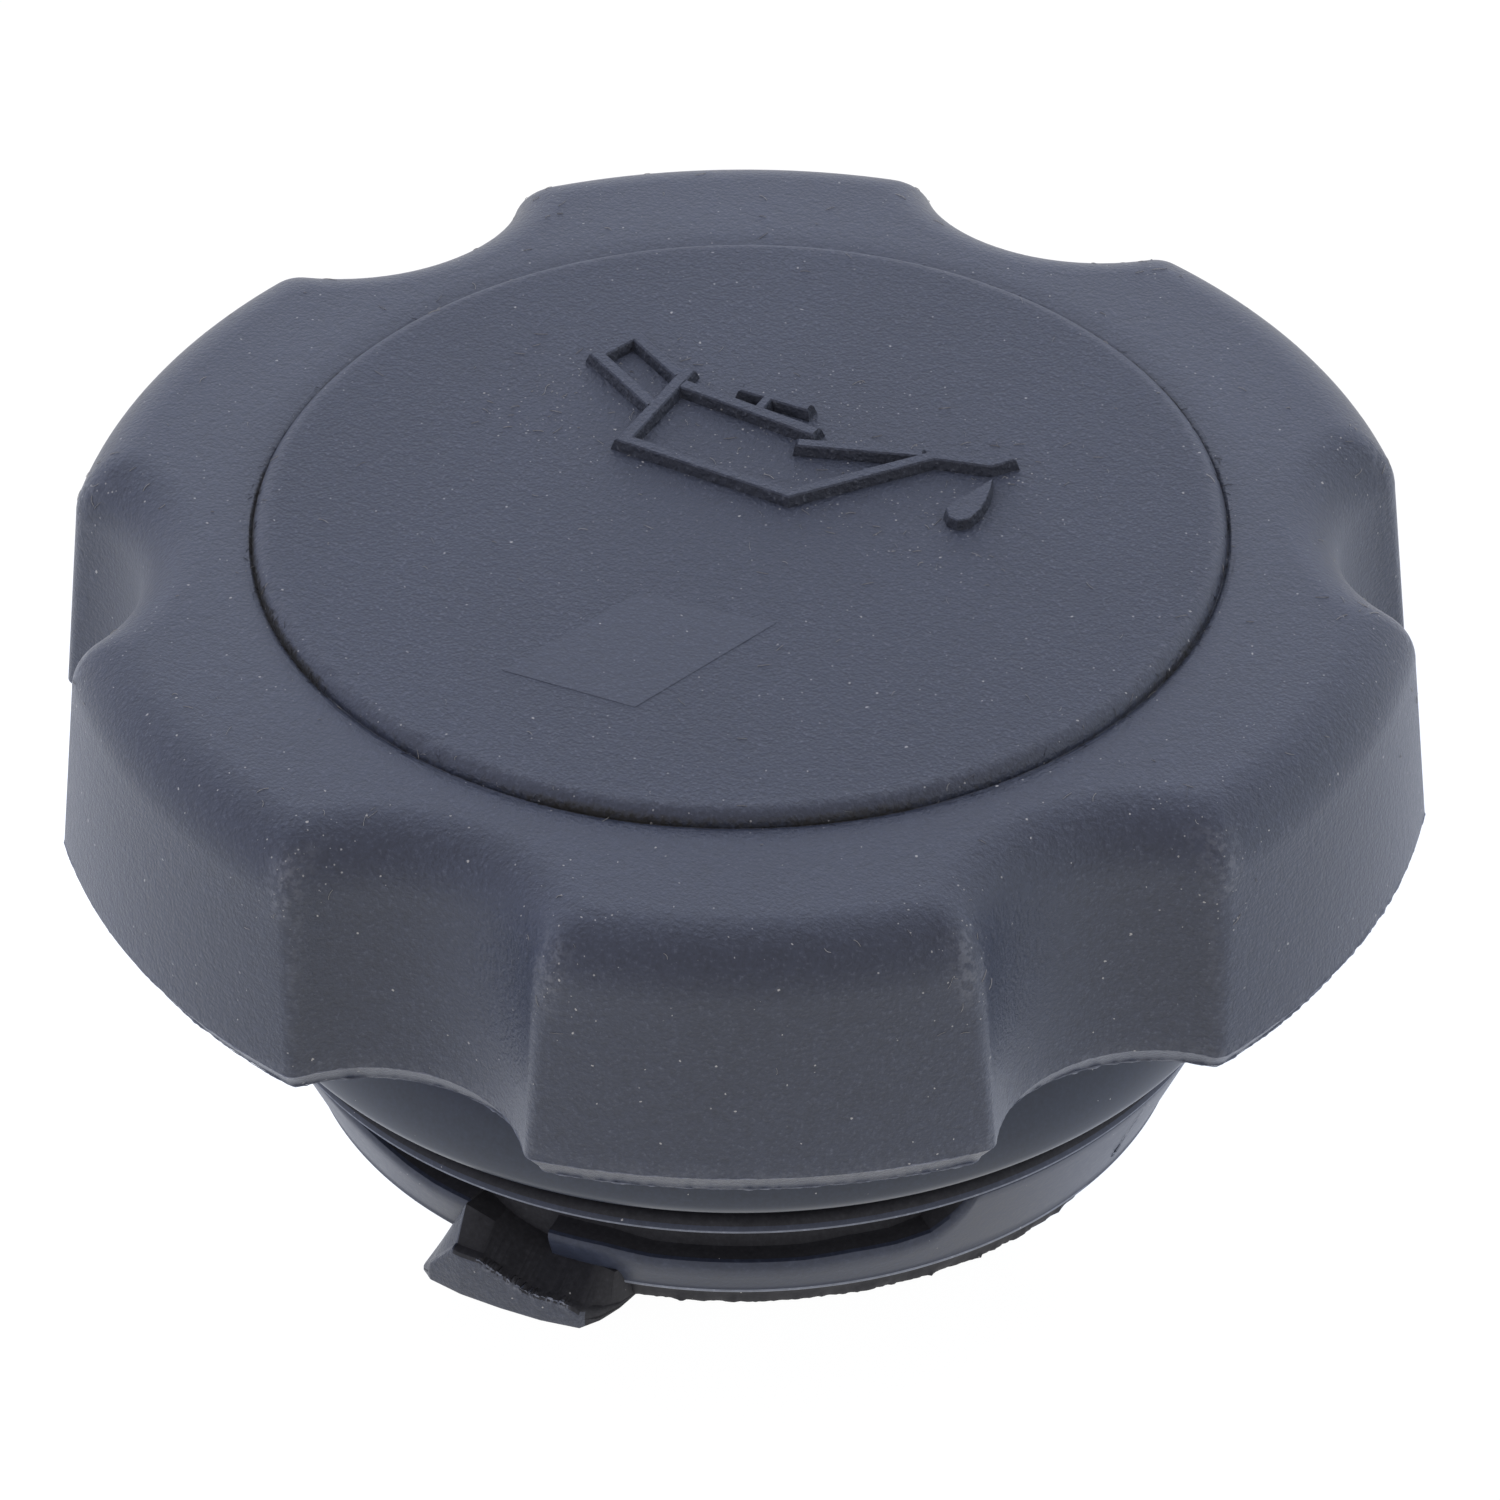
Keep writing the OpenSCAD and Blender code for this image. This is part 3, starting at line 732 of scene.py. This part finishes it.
spigot = {
    "boreR": 18.8, "boreRootR": 18.6, "rimR": 20.5, "footR": 21.2, "footZ": 1.4, "guideR": 23.8,
    "guideZ": 6.95, "guideT": 0.75, "landR": 22.9, "landZ": 8.95, "seatR": 21.6, "rootZ": 28.2,
    "pocketR": 20.9, "coneLowZ": 1.55, "lipRound": 0.3, "lipOpenRound": 0.9, "lipDeep": 0.45, "steps": 360,
    "bead": ((-0.12, 1.16), (0.0, 1.24), (0.05, 1.33), (0.05, 1.42), (0.06, 1.52)),
    "guideFoot": ((0.0, 0.01), (0.04, 0.06), (0.03, 0.14)),
    "guideTop": ((0.01, 0.5), (-0.04, 0.36), (-0.12, 0.22), (-0.24, 0.1), (-0.38, 0.03), (-0.5, 0.0)),
    "lipTurn": (-28, -26, -20.6, -16.6, -12.5, -8, -7.2, -6.9, -3.2, 3.3, 3.6, 3.9, 5, 11, 17, 30, 36, 42,
                47.5, 52, 54.1, 54.8, 55.6, 56.3),
    "lipZ": (6.95, 6.55, 5.55, 4.85, 4.50, 4.44, 4.42, 2.5, 2.5, 1.55, 1.55, 4.2, 4.21, 4.18, 3.8, 3.77,
             3.75, 3.94, 3.92, 4.21, 5.13, 5.59, 6.3, 6.95),
}


def spigotRows(s):
    ends = np.radians(s["lipTurn"])
    even = np.linspace(-math.pi, math.pi, s["steps"], endpoint=False)
    turn = np.unique(np.round(np.concatenate([even, ends - math.pi / 2, ends + math.pi / 2]), 5))
    beside = (np.degrees(turn) + 180) % 180 - 90
    lip = np.interp(beside, s["lipTurn"], s["lipZ"])
    ones = np.ones_like(turn)
    slope = (s["guideR"] - s["footR"]) / (s["guideZ"] - s["footZ"])
    opened = smoothStep((s["guideZ"] - lip) / 0.5)
    rows = []

    def coneR(z):
        return s["footR"] + (z - s["footZ"]) * slope

    def add(r, z):
        r, z = r * ones, z * ones
        rows.append(np.column_stack([r * np.cos(turn), r * np.sin(turn), z]))

    def inPocket(r, z):
        add(s["guideR"] + (r - s["guideR"]) * opened, s["guideZ"] + (z - s["guideZ"]) * opened)

    for r, z in ((s["boreR"], 0.25), (s["boreR"] + 0.07, 0.07), (s["boreR"] + 0.25, 0.0),
                 (s["rimR"] - 0.4, 0.0), (s["rimR"] - 0.3, 0.3), (s["rimR"] - 0.1, 1.1)):
        add(r, z)
    for r, z in s["bead"]:
        add(s["footR"] + r, z)
    low = s["coneLowZ"]
    high = np.maximum(lip - s["lipRound"] - s["lipOpenRound"] * opened, low + 0.02)
    for t in np.linspace(0.1, 1, 9):
        z = low + (high - low) * t
        add(coneR(z), z)
    edge = coneR(lip)
    for t in (0.25, 0.5, 0.75, 1.0):
        r = coneR(high) * (1 - t) ** 2 + 2 * t * (1 - t) * edge + (edge - s["lipDeep"]) * t * t
        z = high * (1 - t) ** 2 + 2 * t * (1 - t) * lip + (lip + 0.03) * t * t
        inPocket(r, z) if t > 0.6 else add(r, z)
    inPocket(s["pocketR"] + 0.35, lip + 0.05)
    inPocket(s["pocketR"] + 0.1, lip + 0.12)
    inPocket(s["pocketR"] * ones, lip + 0.35)
    inPocket(s["pocketR"] * ones, s["guideZ"] - 0.25 * ones)
    inPocket(s["pocketR"] + 0.2 * ones, s["guideZ"] * ones)
    inPocket(s["guideR"] - 0.06 * ones, s["guideZ"] * ones)
    top = s["guideZ"] + s["guideT"]
    for r, z in s["guideFoot"]:
        add(s["guideR"] + r, s["guideZ"] + z)
    for r, z in s["guideTop"]:
        add(s["guideR"] + r, top - z)
    for r, z in ((s["landR"] + 0.1, top), (s["landR"], top + 0.1), (s["landR"], s["landZ"] - 0.05),
                 (s["landR"] - 0.05, s["landZ"]), (s["seatR"], s["landZ"]), (s["seatR"], s["rootZ"]),
                 (s["boreRootR"], s["rootZ"]), (s["boreRootR"] + 0.1, 14.0)):
        add(r, z)
    return rows


# Faces of the spigot that get other plastics. The pocket's inside and the shoulder under the sealing ring get
# the near-black plastic: painted shade under the sealing ring and the skirt. The flashed bead and the guide's
# lower edge get the pale flash plastic, a pale line along each
def spigotFaces(mesh, s):
    middle = faceNumbers(mesh, "center") / mm
    r, z = np.hypot(middle[:, 0], middle[:, 1]), middle[:, 2]
    coneR = s["footR"] + (z - s["footZ"]) * (s["guideR"] - s["footR"]) / (s["guideZ"] - s["footZ"])
    paintedShadeFaces = (r < coneR - 0.42) & (r > s["boreR"] + 0.6) & (z > 1.5) & (z < s["guideZ"] + 0.005)
    shoulder = (z > s["guideZ"] + 0.44) & (z < s["landZ"] - 0.02) & (r > s["landR"] - 0.1)
    flashed = tornShare(np.arctan2(middle[:, 1], middle[:, 0])) > 0.5
    bead = (z > 1.19) & (z < 1.45) & (r > s["footR"] - 0.1) & flashed
    edge = (z > s["guideZ"] + 0.02) & (z < s["guideZ"] + 0.13) & (r > s["guideR"] - 0.05)
    return paintedShadeFaces | shoulder, bead | edge


def wallFaces(mesh):
    return np.abs(faceNumbers(mesh, "normal")[:, 2]) < 0.6


# Torn plastic round the spigot's end, under the bead, given the near-black plastic: painted shade where the
# part stands on the floor

torn = {
    "innerR": 20.0, "outerR": 20.5, "topR": 21.0, "topZ": 1.2, "steps": 900, "fade": 0.4, "least": 0.15,
    "fromTurn": 280, "fromSoft": 5, "toTurn": 340, "toSoft": 15,
}


def tornShare(turn):
    angle = (np.degrees(turn) + 360) % 360
    begun = smoothStep((angle - torn["fromTurn"]) / torn["fromSoft"])
    ended = smoothStep((angle - torn["toTurn"]) / torn["toSoft"])
    return begun * (1 - ended) + torn["least"]


def tornRows(k):
    turn = np.linspace(0, 2 * math.pi, k["steps"], endpoint=False)
    rag = roundNoise(turn, 620, 3) * 0.55 + roundNoise(turn, 150, 4) * 0.45 - 0.5
    tuft = roundNoise(turn, 330, 9) ** 8
    share = np.clip(tornShare(turn), 0, 1)
    rows = []

    def add(r, z):
        r = np.maximum(k["innerR"], r - k["fade"] * (1 - share))
        rows.append(np.column_stack([r * np.cos(turn), r * np.sin(turn), np.broadcast_to(z, turn.shape)]))

    add(k["innerR"], 0.6)
    add(k["innerR"], 0.03)
    add(k["outerR"] - 0.2 + 0.2 * rag, 0.02)
    add(k["outerR"] + 0.30 * rag + 0.20 * tuft, 0.08 + 0.10 * rag)
    add(k["outerR"] + 0.12 + 0.24 * rag, 0.30 + 0.1 * rag)
    add(k["outerR"] + 0.22 + 0.16 * np.roll(rag, 7), 0.62)
    add(k["outerR"] + 0.33 + 0.12 * np.roll(rag, 31), 0.95)
    add(k["topR"] + 0.03 * rag, k["topZ"])
    add(k["innerR"], k["topZ"])
    return rows


# A bayonet lug, as sections along X, standing out towards -Y

lug = {
    "lineX": (-5.12, -4.90, -4.23, -2.42, -0.23, 1.88, 3.80, 4.39, 4.76, 4.93),
    "lineY": (-21.04, -23.01, -23.54, -23.83, -23.86, -23.75, -23.40, -22.41, -21.13, -19.77),
    "topX": (-5.12, -2.90, -1.35, 1.20, 2.90, 3.60, 4.40, 4.93),
    "topZ": (0.02, 2.60, 2.60, 1.60, 1.50, 1.22, 0.62, 0.10),
    "innerX": (-5.12, -2.83, -1.0, 1.00, 4.93), "innerZ": (0.02, 4.35, 3.30, 2.72, 2.24),
    "innerY": (-21.3, -22.35, -21.9, -21.3, -21.3), "rootY": -19.5, "edgeR": 0.25, "steps": 120,
    "raggedX": (-1.4, 3.2), "ragged": 0.12, "smooth": 0.015, "topFromX": -2.84, "endX": 4.0,
    "torn": {"Steps": 260, "Thickness": 0.05 * mm, "Raggedness": 0.26 * mm, "Noise Scale": 3600.0},
}


def lugRows(k):
    rough = np.random.default_rng(11)
    first, last = k["lineX"][0], k["lineX"][-1]
    line = np.concatenate([first + 0.5 * np.linspace(0, 1, 12) ** 2,
                           np.linspace(first + 0.56, last - 0.1, k["steps"]), [last]])
    rows = []
    for x in line:
        outer = float(np.interp(x, k["lineX"], k["lineY"]))
        top = float(np.interp(x, k["topX"], k["topZ"]))
        inner = max(top, float(np.interp(x, k["innerX"], k["innerZ"])))
        e = min(k["edgeR"], top / 3)
        ragged = k["ragged"] if k["raggedX"][0] < x < k["raggedX"][1] else k["smooth"]
        jitter = rough.normal(0, ragged, 4)
        section = [(k["rootY"], 0), (outer + 0.4 * e, 0), (outer + 0.1 * e, 0.1 * e), (outer, 0.4 * e),
                   (outer, 0.5 * top), (outer, top - 2 * e), (outer, top - e + 0.3 * jitter[0]),
                   (outer + 0.3 * e + 0.5 * jitter[1], top - 0.3 * e),
                   (outer + e + jitter[2], top + 0.3 * jitter[3] * (top > 0.2)), (outer + 2 * e, top),
                   (max(outer + 2 * e + 0.1, float(np.interp(x, k["innerX"], k["innerY"]))), inner),
                   (k["rootY"], inner)]
        rows.append([(x, y, z) for y, z in section])
    rows = np.asarray(rows)
    ends = [np.broadcast_to(rows[i].mean(0), rows[i].shape) for i in (0, -1)]
    return np.concatenate([ends[0][None], rows, ends[1][None]])


# Faces of the lug given the near-black plastic, its tops facing up past topFromX and its end past endX:
# painted shade under the knob's skirt
def lugShadeFaces(mesh, k):
    centre = faceNumbers(mesh, "center") / mm
    up = faceNumbers(mesh, "normal")[:, 2]
    along = -centre[:, 0] * np.sign(centre[:, 1])
    return ((along > k["topFromX"]) & (up > 0.3)) | (along > k["endX"])


def lugEdge(k):
    x = np.linspace(-1.5, 3.3, 60)
    y = np.interp(x, k["lineX"], k["lineY"]) + 0.06
    return np.column_stack([x, y, np.interp(x, k["topX"], k["topZ"]) - 0.10])


# The sealing ring

ring = {
    "innerR": 21.65, "outerR": 25.6, "lowZ": 8.95, "topZ": 14.3, "lowR": 1.25, "sideR": 5.0, "tilt": 11.5,
    "steps": 480,
}


def ringProfile(k):
    t = math.radians(k["tilt"])
    sideC = (k["outerR"] - k["sideR"], k["lowZ"] + k["lowR"] + (k["sideR"] - k["lowR"]) * math.sin(t))
    lowC = (sideC[0] + (k["sideR"] - k["lowR"]) * math.cos(t), k["lowZ"] + k["lowR"])
    low = arcPoints(lowC, k["lowR"], -90, -k["tilt"], 12)
    reach = math.degrees(math.asin((k["topZ"] - 0.25 - sideC[1]) / k["sideR"]))
    side = arcPoints(sideC, k["sideR"], -k["tilt"], reach, 14, 1)
    inner = [(k["innerR"] + 0.2, k["topZ"]), (k["innerR"], k["topZ"] - 0.2), (k["innerR"], k["lowZ"] + 0.2),
             (k["innerR"] + 0.2, k["lowZ"])]
    top = [(side[-1][0] - 0.12, k["topZ"] - 0.08), (side[-1][0] - 0.3, k["topZ"])]
    return [tuple(p) for p in np.vstack([low, side, top])] + inner


# The raised oil-can sign on the disc: centre lines of its strips, and their width

sign = {
    "baseZ": 31.1, "topZ": 31.72, "footSpread": 0.18, "edgeR": 0.08,
    "strips": (
        (0.66, ((-7.70, 5.52), (-12.0, 7.90), (-11.24, 10.19), (-7.70, 8.26))),
        (0.66, ((-7.55, 2.35), (-7.55, 8.90))),
        (0.70, ((-7.30, 7.68), (0.30, 7.16))),
        (0.55, ((-4.60, 8.68), (-0.90, 8.74))),
        (0.50, ((-3.08, 8.70), (-3.08, 7.40))),
        (0.66, ((-7.88, 2.42), (1.47, 2.19), (6.10, 8.10), (8.75, 8.80), (9.45, 9.75))),
        (0.62, ((-0.15, 5.98), (5.60, 8.02))),
    ),
    "drop": ((8.60, 4.55), (9.0, 4.05), (9.55, 3.95), (10.0, 4.35), (10.08, 5.2), (9.95, 6.2), (9.70, 7.1),
             (9.45, 7.7), (9.2, 6.9), (8.9, 5.9), (8.62, 5.2)),
}


def stripShell(points, width, k):
    points = np.asarray(points, float)
    tangent = np.diff(points, axis=0)
    tangent /= np.linalg.norm(tangent, axis=1)[:, None]
    rows = []
    for i, p in enumerate(points):
        before, after = tangent[max(i - 1, 0)], tangent[min(i, len(tangent) - 1)]
        across = np.array([-(before + after)[1], (before + after)[0]])
        across /= np.linalg.norm(across)
        scale = 1 / max(across @ np.array([-before[1], before[0]]), 0.4)
        rows.append(sectionRow(p, across * scale, width, k))
    for i, way in ((0, -tangent[0]), (-1, tangent[-1])):
        row = rows[i].copy()
        sizes = np.array([k["footSpread"], 0.5 * k["edgeR"], 0, 0, 0.5 * k["edgeR"], k["footSpread"]])
        rows[i][:, :2] -= np.outer(np.array([0, 0, 1, 1, 0, 0]) * k["edgeR"], way)
        rows[i][:, :2] += np.outer(sizes, way)
        middle = np.broadcast_to(row.mean(0), row.shape)
        rows = [middle] + rows if i == 0 else rows + [middle]
    return gridShell(rows)


def sectionRow(p, across, width, k):
    half, e = width / 2, k["edgeR"]
    section = ((-half - k["footSpread"], k["baseZ"]), (-half, k["topZ"] - e), (-half + e, k["topZ"]),
               (half - e, k["topZ"]), (half, k["topZ"] - e), (half + k["footSpread"], k["baseZ"]))
    return np.array([(p[0] + across[0] * a, p[1] + across[1] * a, z) for a, z in section])


def plateShell(outline, lowZ, topZ, spread, edge):
    outline = np.asarray(outline, float)
    centre = outline.mean(0)
    away = outline - centre
    away /= np.linalg.norm(away, axis=1)[:, None]
    levels = ((spread, lowZ), (0, topZ - edge), (-edge, topZ))
    rows = [np.column_stack([outline + away * s, np.full(len(outline), z)]) for s, z in levels]
    for row, z in ((0, lowZ), (len(rows) + 1, topZ)):
        rows.insert(row, np.broadcast_to((*centre, z), (len(outline), 3)))
    return gridShell(rows)


# The bare place of the mould's letter insert, a shade smoother than the disc round it

insert = {"corners": ((-4.01, -15.84), (2.83, -15.45), (5.51, -6.63), (-1.36, -7.43)), "proud": 0.02,
          "line": {"Steps": 360, "Thickness": 0.022 * mm, "Raggedness": 0.07 * mm, "Noise Scale": 1500.0}}


def insertShell(k):
    corners = np.asarray(k["corners"])
    outline = []
    for a, b in zip(corners, np.roll(corners, -1, axis=0)):
        outline += [a + (b - a) * t for t in np.linspace(0, 1, 12, endpoint=False)]
    return plateShell(outline, grip["discZ"] - 0.1, grip["discZ"] + k["proud"], 0.03, 0.02)


# Small damage on the disc's edge: place, reach and depth of each nick

nicks = (
    ((-4.68, -22.15, 31.15), 0.45, 0.16),
    ((-10.90, -19.80, 31.15), 0.35, 0.13),
    ((-24.1, -13.6, 30.9), 0.5, 0.1),
)


def cutNicks(points):
    for place, reach, depth in nicks:
        away = np.linalg.norm(points - place, axis=1)
        points[:, 2] -= depth * smoothStep(1 - away / reach)
    return points


def addNumbers(mesh, name, values):
    mesh.attributes.new(name, "FLOAT", "POINT").data.foreach_set("value", values.astype(np.float32))


fibres = {"Density": 62000.0, "Length": 0.45 * mm, "Thickness": 0.018 * mm, "Seed": 5}
# Blackish fibres in the disc's foot crease, in the near-black plastic: painted shade
creaseShadeFibres = {
    "Density": 7000000.0, "Length": 0.34 * mm, "Thickness": 0.013 * mm, "Mask Name": "shadeFibreMask", "Seed": 8,
}


# Where dust lies, and where the blackish fibres and the painted shade go in the disc's foot crease:
# strengths, and middles and reaches in millimetres or degrees

dustMarks = {
    "lowestZ": 18.5, "least": 0.1, "lying": 0.5, "foot": 1.5, "footAt": 22.9, "footReach": 0.7,
    "notch": 5, "notchAt": 17, "notchReach": 3, "sign": 6.0, "signX": -1, "signHalfX": 13, "signY": 6,
    "signHalfY": 5.5, "shadeFibreAt": 23.12, "shadeFibreReach": 0.16, "creaseShadeAt": 23.09, "creaseShadeReach": 0.20,
    "patchLeast": 0.45,
}


def besideLobe(points):
    turn = np.degrees(np.arctan2(points[:, 1], points[:, 0]))
    return np.abs((turn + 30) % 60 - 30)


def markDusty(mesh, d):
    points = getPoints(mesh)
    x, y, z = points.T
    r = np.hypot(x, y)
    normals = np.empty(len(points) * 3)
    mesh.vertices.foreach_get("normal", normals)
    up = normals.reshape(-1, 3)[:, 2]
    outside = (up > 0.03) * (z > d["lowestZ"]) * (r > 0.1)
    foot = d["foot"] * bell(r, d["footAt"], d["footReach"])
    notch = d["notch"] * bell(besideLobe(points), d["notchAt"], d["notchReach"])
    notch = notch * (r > 28) * smoothStep((z - 24) / 2)
    besideSign = (np.abs(x - d["signX"]) < d["signHalfX"]) * (np.abs(y - d["signY"]) < d["signHalfY"])
    besideSign = d["sign"] * besideSign * (z > 31)
    lying = d["least"] + d["lying"] * smoothStep(up / 0.8)
    addNumbers(mesh, "dusty", outside * (lying + foot + notch + besideSign))
    patches = smoothStep(roundNoise(np.arctan2(y, x), 23, 6) * 1.6 - 0.3)
    # The disc's foot crease, in patches round the disc: where the blackish fibres stand and where the painted
    # shade darkens it
    crease = (z > 30.2) * (d["patchLeast"] + (1 - d["patchLeast"]) * patches)
    addNumbers(mesh, "shadeFibreMask", crease * bell(r, d["shadeFibreAt"], d["shadeFibreReach"]) * (up > 0.03))
    addNumbers(mesh, "soiled", crease * bell(r, d["creaseShadeAt"], d["creaseShadeReach"]))


# Where edges are rubbed pale, in the same way

wearMarks = {
    "corner": 0.25, "cornerAt": 18.8, "cornerReach": 0.3, "cornerTopZ": 30.3, "lower": 0.35,
    "lowerReach": 0.25, "disc": 0.3, "discAt": 22.4, "discReach": 0.2, "notch": 0.8, "notchAt": 17.3,
    "notchReach": 1.1, "notchZ": (25.6, 30.0), "face": 0.15, "edge": 0.85, "edgeX": (-1.6, 3.4),
    "edgeDeep": 0.36,
}


def markRubbed(mesh, w):
    points = getPoints(mesh)
    x, y, z = points.T
    r = np.hypot(x, y)
    beside = besideLobe(points)
    outside = smoothStep((r - 27.0) / 1.0) * (z > 17.0)
    corner = w["corner"] * bell((beside - w["cornerAt"]) * np.radians(r), 0, w["cornerReach"]) * outside
    corner *= smoothStep((w["cornerTopZ"] - z) / 2.5)
    lower = w["lower"] * bell(z, grip["partingZ"], w["lowerReach"]) * (r > 26)
    along = -x * np.sign(y)
    ramp = np.interp(along, lug["topX"], lug["topZ"])
    reach = -np.interp(along, lug["lineX"], lug["lineY"])
    face = (np.abs(along) < 5.3) * (np.abs(y) > 21.5) * (z < 3)
    face = face * (np.abs(y) > reach - 0.12) * (z < ramp - 0.05)
    near = face * (z > ramp - w["edgeDeep"])
    edge = near * (along > w["edgeX"][0]) * (along < w["edgeX"][1])
    disc = w["disc"] * bell(r, w["discAt"], w["discReach"]) * (z > 30.9)
    high = smoothStep((z - w["notchZ"][0]) / 1.6) * smoothStep((w["notchZ"][1] - z) / 1.0)
    notch = w["notch"] * bell(beside, w["notchAt"], w["notchReach"]) * high * outside
    rubbed = corner + lower + disc + notch + w["face"] * face + w["edge"] * edge
    addNumbers(mesh, "rubbed", np.clip(rubbed, 0, 1))
    addNumbers(mesh, "coarse", smoothStep((22.7 - r) / 0.3) * (z > 30.7))


# Flash along the parting line and the skirt's lower edge: inset, height and the tree's values

flashLines = (
    (0.02, grip["partingZ"],
     {"Steps": 1500, "Thickness": 0.065 * mm, "Raggedness": 0.14 * mm, "Noise Scale": 1700.0}),
    (grip["rimInset"] + 0.06, grip["skirtZ"] + 0.1,
     {"Steps": 1500, "Thickness": 0.07 * mm, "Raggedness": 0.15 * mm, "Noise Scale": 2200.0}),
)


# Ridges left where the mould's slides met, down the cone

slideMarks = {
    "turns": (-7.5, 172.5),
    "ridges": (
        (np.array((22.0, 22.6, 23.2, 23.75)), np.array((3.0, 4.3, 5.6, 6.85)),
         {"Steps": 120, "Thickness": 0.045 * mm, "Raggedness": 0.14 * mm, "Noise Scale": 2600.0}),
        (np.array((21.75, 22.2)), np.array((2.5, 3.5)),
         {"Steps": 60, "Thickness": 0.06 * mm, "Raggedness": 0.28 * mm, "Noise Scale": 4200.0}),
    ),
}


def pathMesh(line, closed=True):
    path = bpy.data.meshes.new("path")
    last = len(line) if closed else len(line) - 1
    path.from_pydata((line * mm).tolist(), [(i, (i + 1) % len(line)) for i in range(last)], [])
    return path


def turnMatrix(degrees):
    c, s = math.cos(math.radians(degrees)), math.sin(math.radians(degrees))
    return np.array([[c, s], [-s, c]])


def buildCapBody(finish, trees):
    body, pale, pad = finish["capPlastic"], finish["flashPlastic"], finish["insertPlastic"]
    smooth, paintedShade, flakes = finish["spigotPlastic"], finish["paintedShadePlastic"], finish["dustFlakes"]
    shadedSignWalls = finish["signWallsPaintedShade"]
    sector = makeMesh("gripLobe", *gridShell(gripRows(grip), closedRound=False), closed=False)
    copies = {"Copies": grip["lobes"], "Merge Distance": 0.002 * mm, "Material": body}
    shell = applyTree(sector, trees["copies"], copies)
    setPoints(shell, cutNicks(getPoints(shell)))
    markDusty(shell, dustMarks)
    hairs = applyTree(shell, trees["fibres"], dict(fibres, Material=flakes))
    # Blackish fibres in the disc's foot crease: painted shade
    shadeFibres = applyTree(shell, trees["fibres"], dict(creaseShadeFibres, Material=paintedShade))
    parts = [(shell, body), (hairs, flakes), (shadeFibres, paintedShade)]
    print("grip", len(shell.vertices), "fibres", len(hairs.vertices) // 12, "shadeFibres", len(shadeFibres.vertices) // 12)
    group = bmesh.new()
    for i in range(ribs["count"]):
        turn = math.radians(ribs["step"] * (i - (ribs["count"] - 1) / 2))
        group.from_mesh(makeMesh("rib", *gridShell(ribRows(ribs, turn))))
    ribMesh = bpy.data.meshes.new("lobeRibs")
    group.to_mesh(ribMesh)
    group.free()
    parts.append((applyTree(ribMesh, trees["copies"], copies), body))
    parts.append((makeMesh("collar", *revolve(collarProfile(collar), collar["steps"])), body))
    spigotMesh = makeMesh("spigot", *gridShell(spigotRows(spigot), True, True))
    paintedShadeFaces, bright = spigotFaces(spigotMesh, spigot)
    # The spigot, with painted shade on its pockets and on the shoulder under the sealing ring
    parts.append((spigotMesh, smooth, (paintedShade, paintedShadeFaces), (pale, bright)))
    # The torn rim in the near-black plastic: painted shade next to the floor
    parts.append((makeMesh("tornRim", *gridShell(tornRows(torn), True, True)), paintedShade))
    for turn in slideMarks["turns"]:
        for r, z, values in slideMarks["ridges"]:
            a = np.radians(np.full(len(r), turn))
            line = np.column_stack([r * np.cos(a), r * np.sin(a), z])
            ridge = applyTree(pathMesh(line, False), trees["flash"], dict(values, Material=pale))
            parts.append((ridge, pale))
    lugs = {"Copies": 2, "Merge Distance": 0.0, "Material": body}
    pair = applyTree(makeMesh("lug", *gridShell(lugRows(lug))), trees["copies"], lugs)
    # The pair of lugs, with painted shade on their tops and ends
    parts.append((pair, body, (paintedShade, lugShadeFaces(pair, lug))))
    edge = applyTree(pathMesh(lugEdge(lug), False), trees["flash"], dict(lug["torn"], Material=pale))
    parts.append((applyTree(edge, trees["copies"], dict(lugs, Material=pale)), pale))
    print("spigot and lugs")
    # The sign's strips and drop, their steep sides in the darker sign plastic: painted shade
    for i, (width, points) in enumerate(sign["strips"]):
        level = dict(sign, topZ=sign["topZ"] + 0.004 * i)
        strip = makeMesh("strip", *stripShell(points, width, level))
        parts.append((strip, body, (shadedSignWalls, wallFaces(strip))))
    drop = makeMesh("drop", *plateShell(sign["drop"], sign["baseZ"], sign["topZ"], 0.16, 0.06))
    parts.append((drop, body, (shadedSignWalls, wallFaces(drop))))
    parts.append((makeMesh("insert", *insertShell(insert)), pad))
    print("sign")
    for inset, z, values in flashLines:
        lobe = lobeLine(grip, inset, grip["cornerLowR"])[:-1]
        line = np.vstack([lobe @ turnMatrix(360 / grip["lobes"] * i) for i in range(grip["lobes"])])
        loop = np.column_stack([line, np.full(len(line), z)])
        parts.append((applyTree(pathMesh(loop), trees["flash"], dict(values, Material=pale)), pale))
    corners = np.asarray(insert["corners"])
    loop = np.column_stack([corners, np.full(4, grip["discZ"] + insert["proud"] - 0.02)])
    parts.append((applyTree(pathMesh(loop), trees["flash"], dict(insert["line"], Material=body)), body))
    print("flash")
    mesh = joinMeshes("capBody", parts, [body, pale, pad, smooth, paintedShade, flakes, shadedSignWalls])
    markRubbed(mesh, wearMarks)
    return mesh


makeCamera(view)
makeStudio(studio)
grain, rubbed, dust, creaseShadeGroup = makeGrainGroup(), makeWearGroup(), makeDustGroup(), makeCreaseShadeGroup()
finish = {name: makeFinish(name, values, grain, rubbed, dust, creaseShadeGroup) for name, values in finishes.items()}
trees = {"copies": makeTurnedCopies(), "flash": makeFlashTree(), "fibres": makeFibreTree()}
print("studio and materials")

capBody = makePiece("capBody", buildCapBody(finish, trees))
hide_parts("cap_body")
print("cap body", len(capBody.data.polygons))

rubber = finish["ringRubber"]
ringShell = makeMesh("ring", *revolve(ringProfile(ring), ring["steps"]))
sealRing = makePiece("sealRing", joinMeshes("sealRing", [(ringShell, rubber)], [rubber]))
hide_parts("sealing_ring")
print("sealing ring")
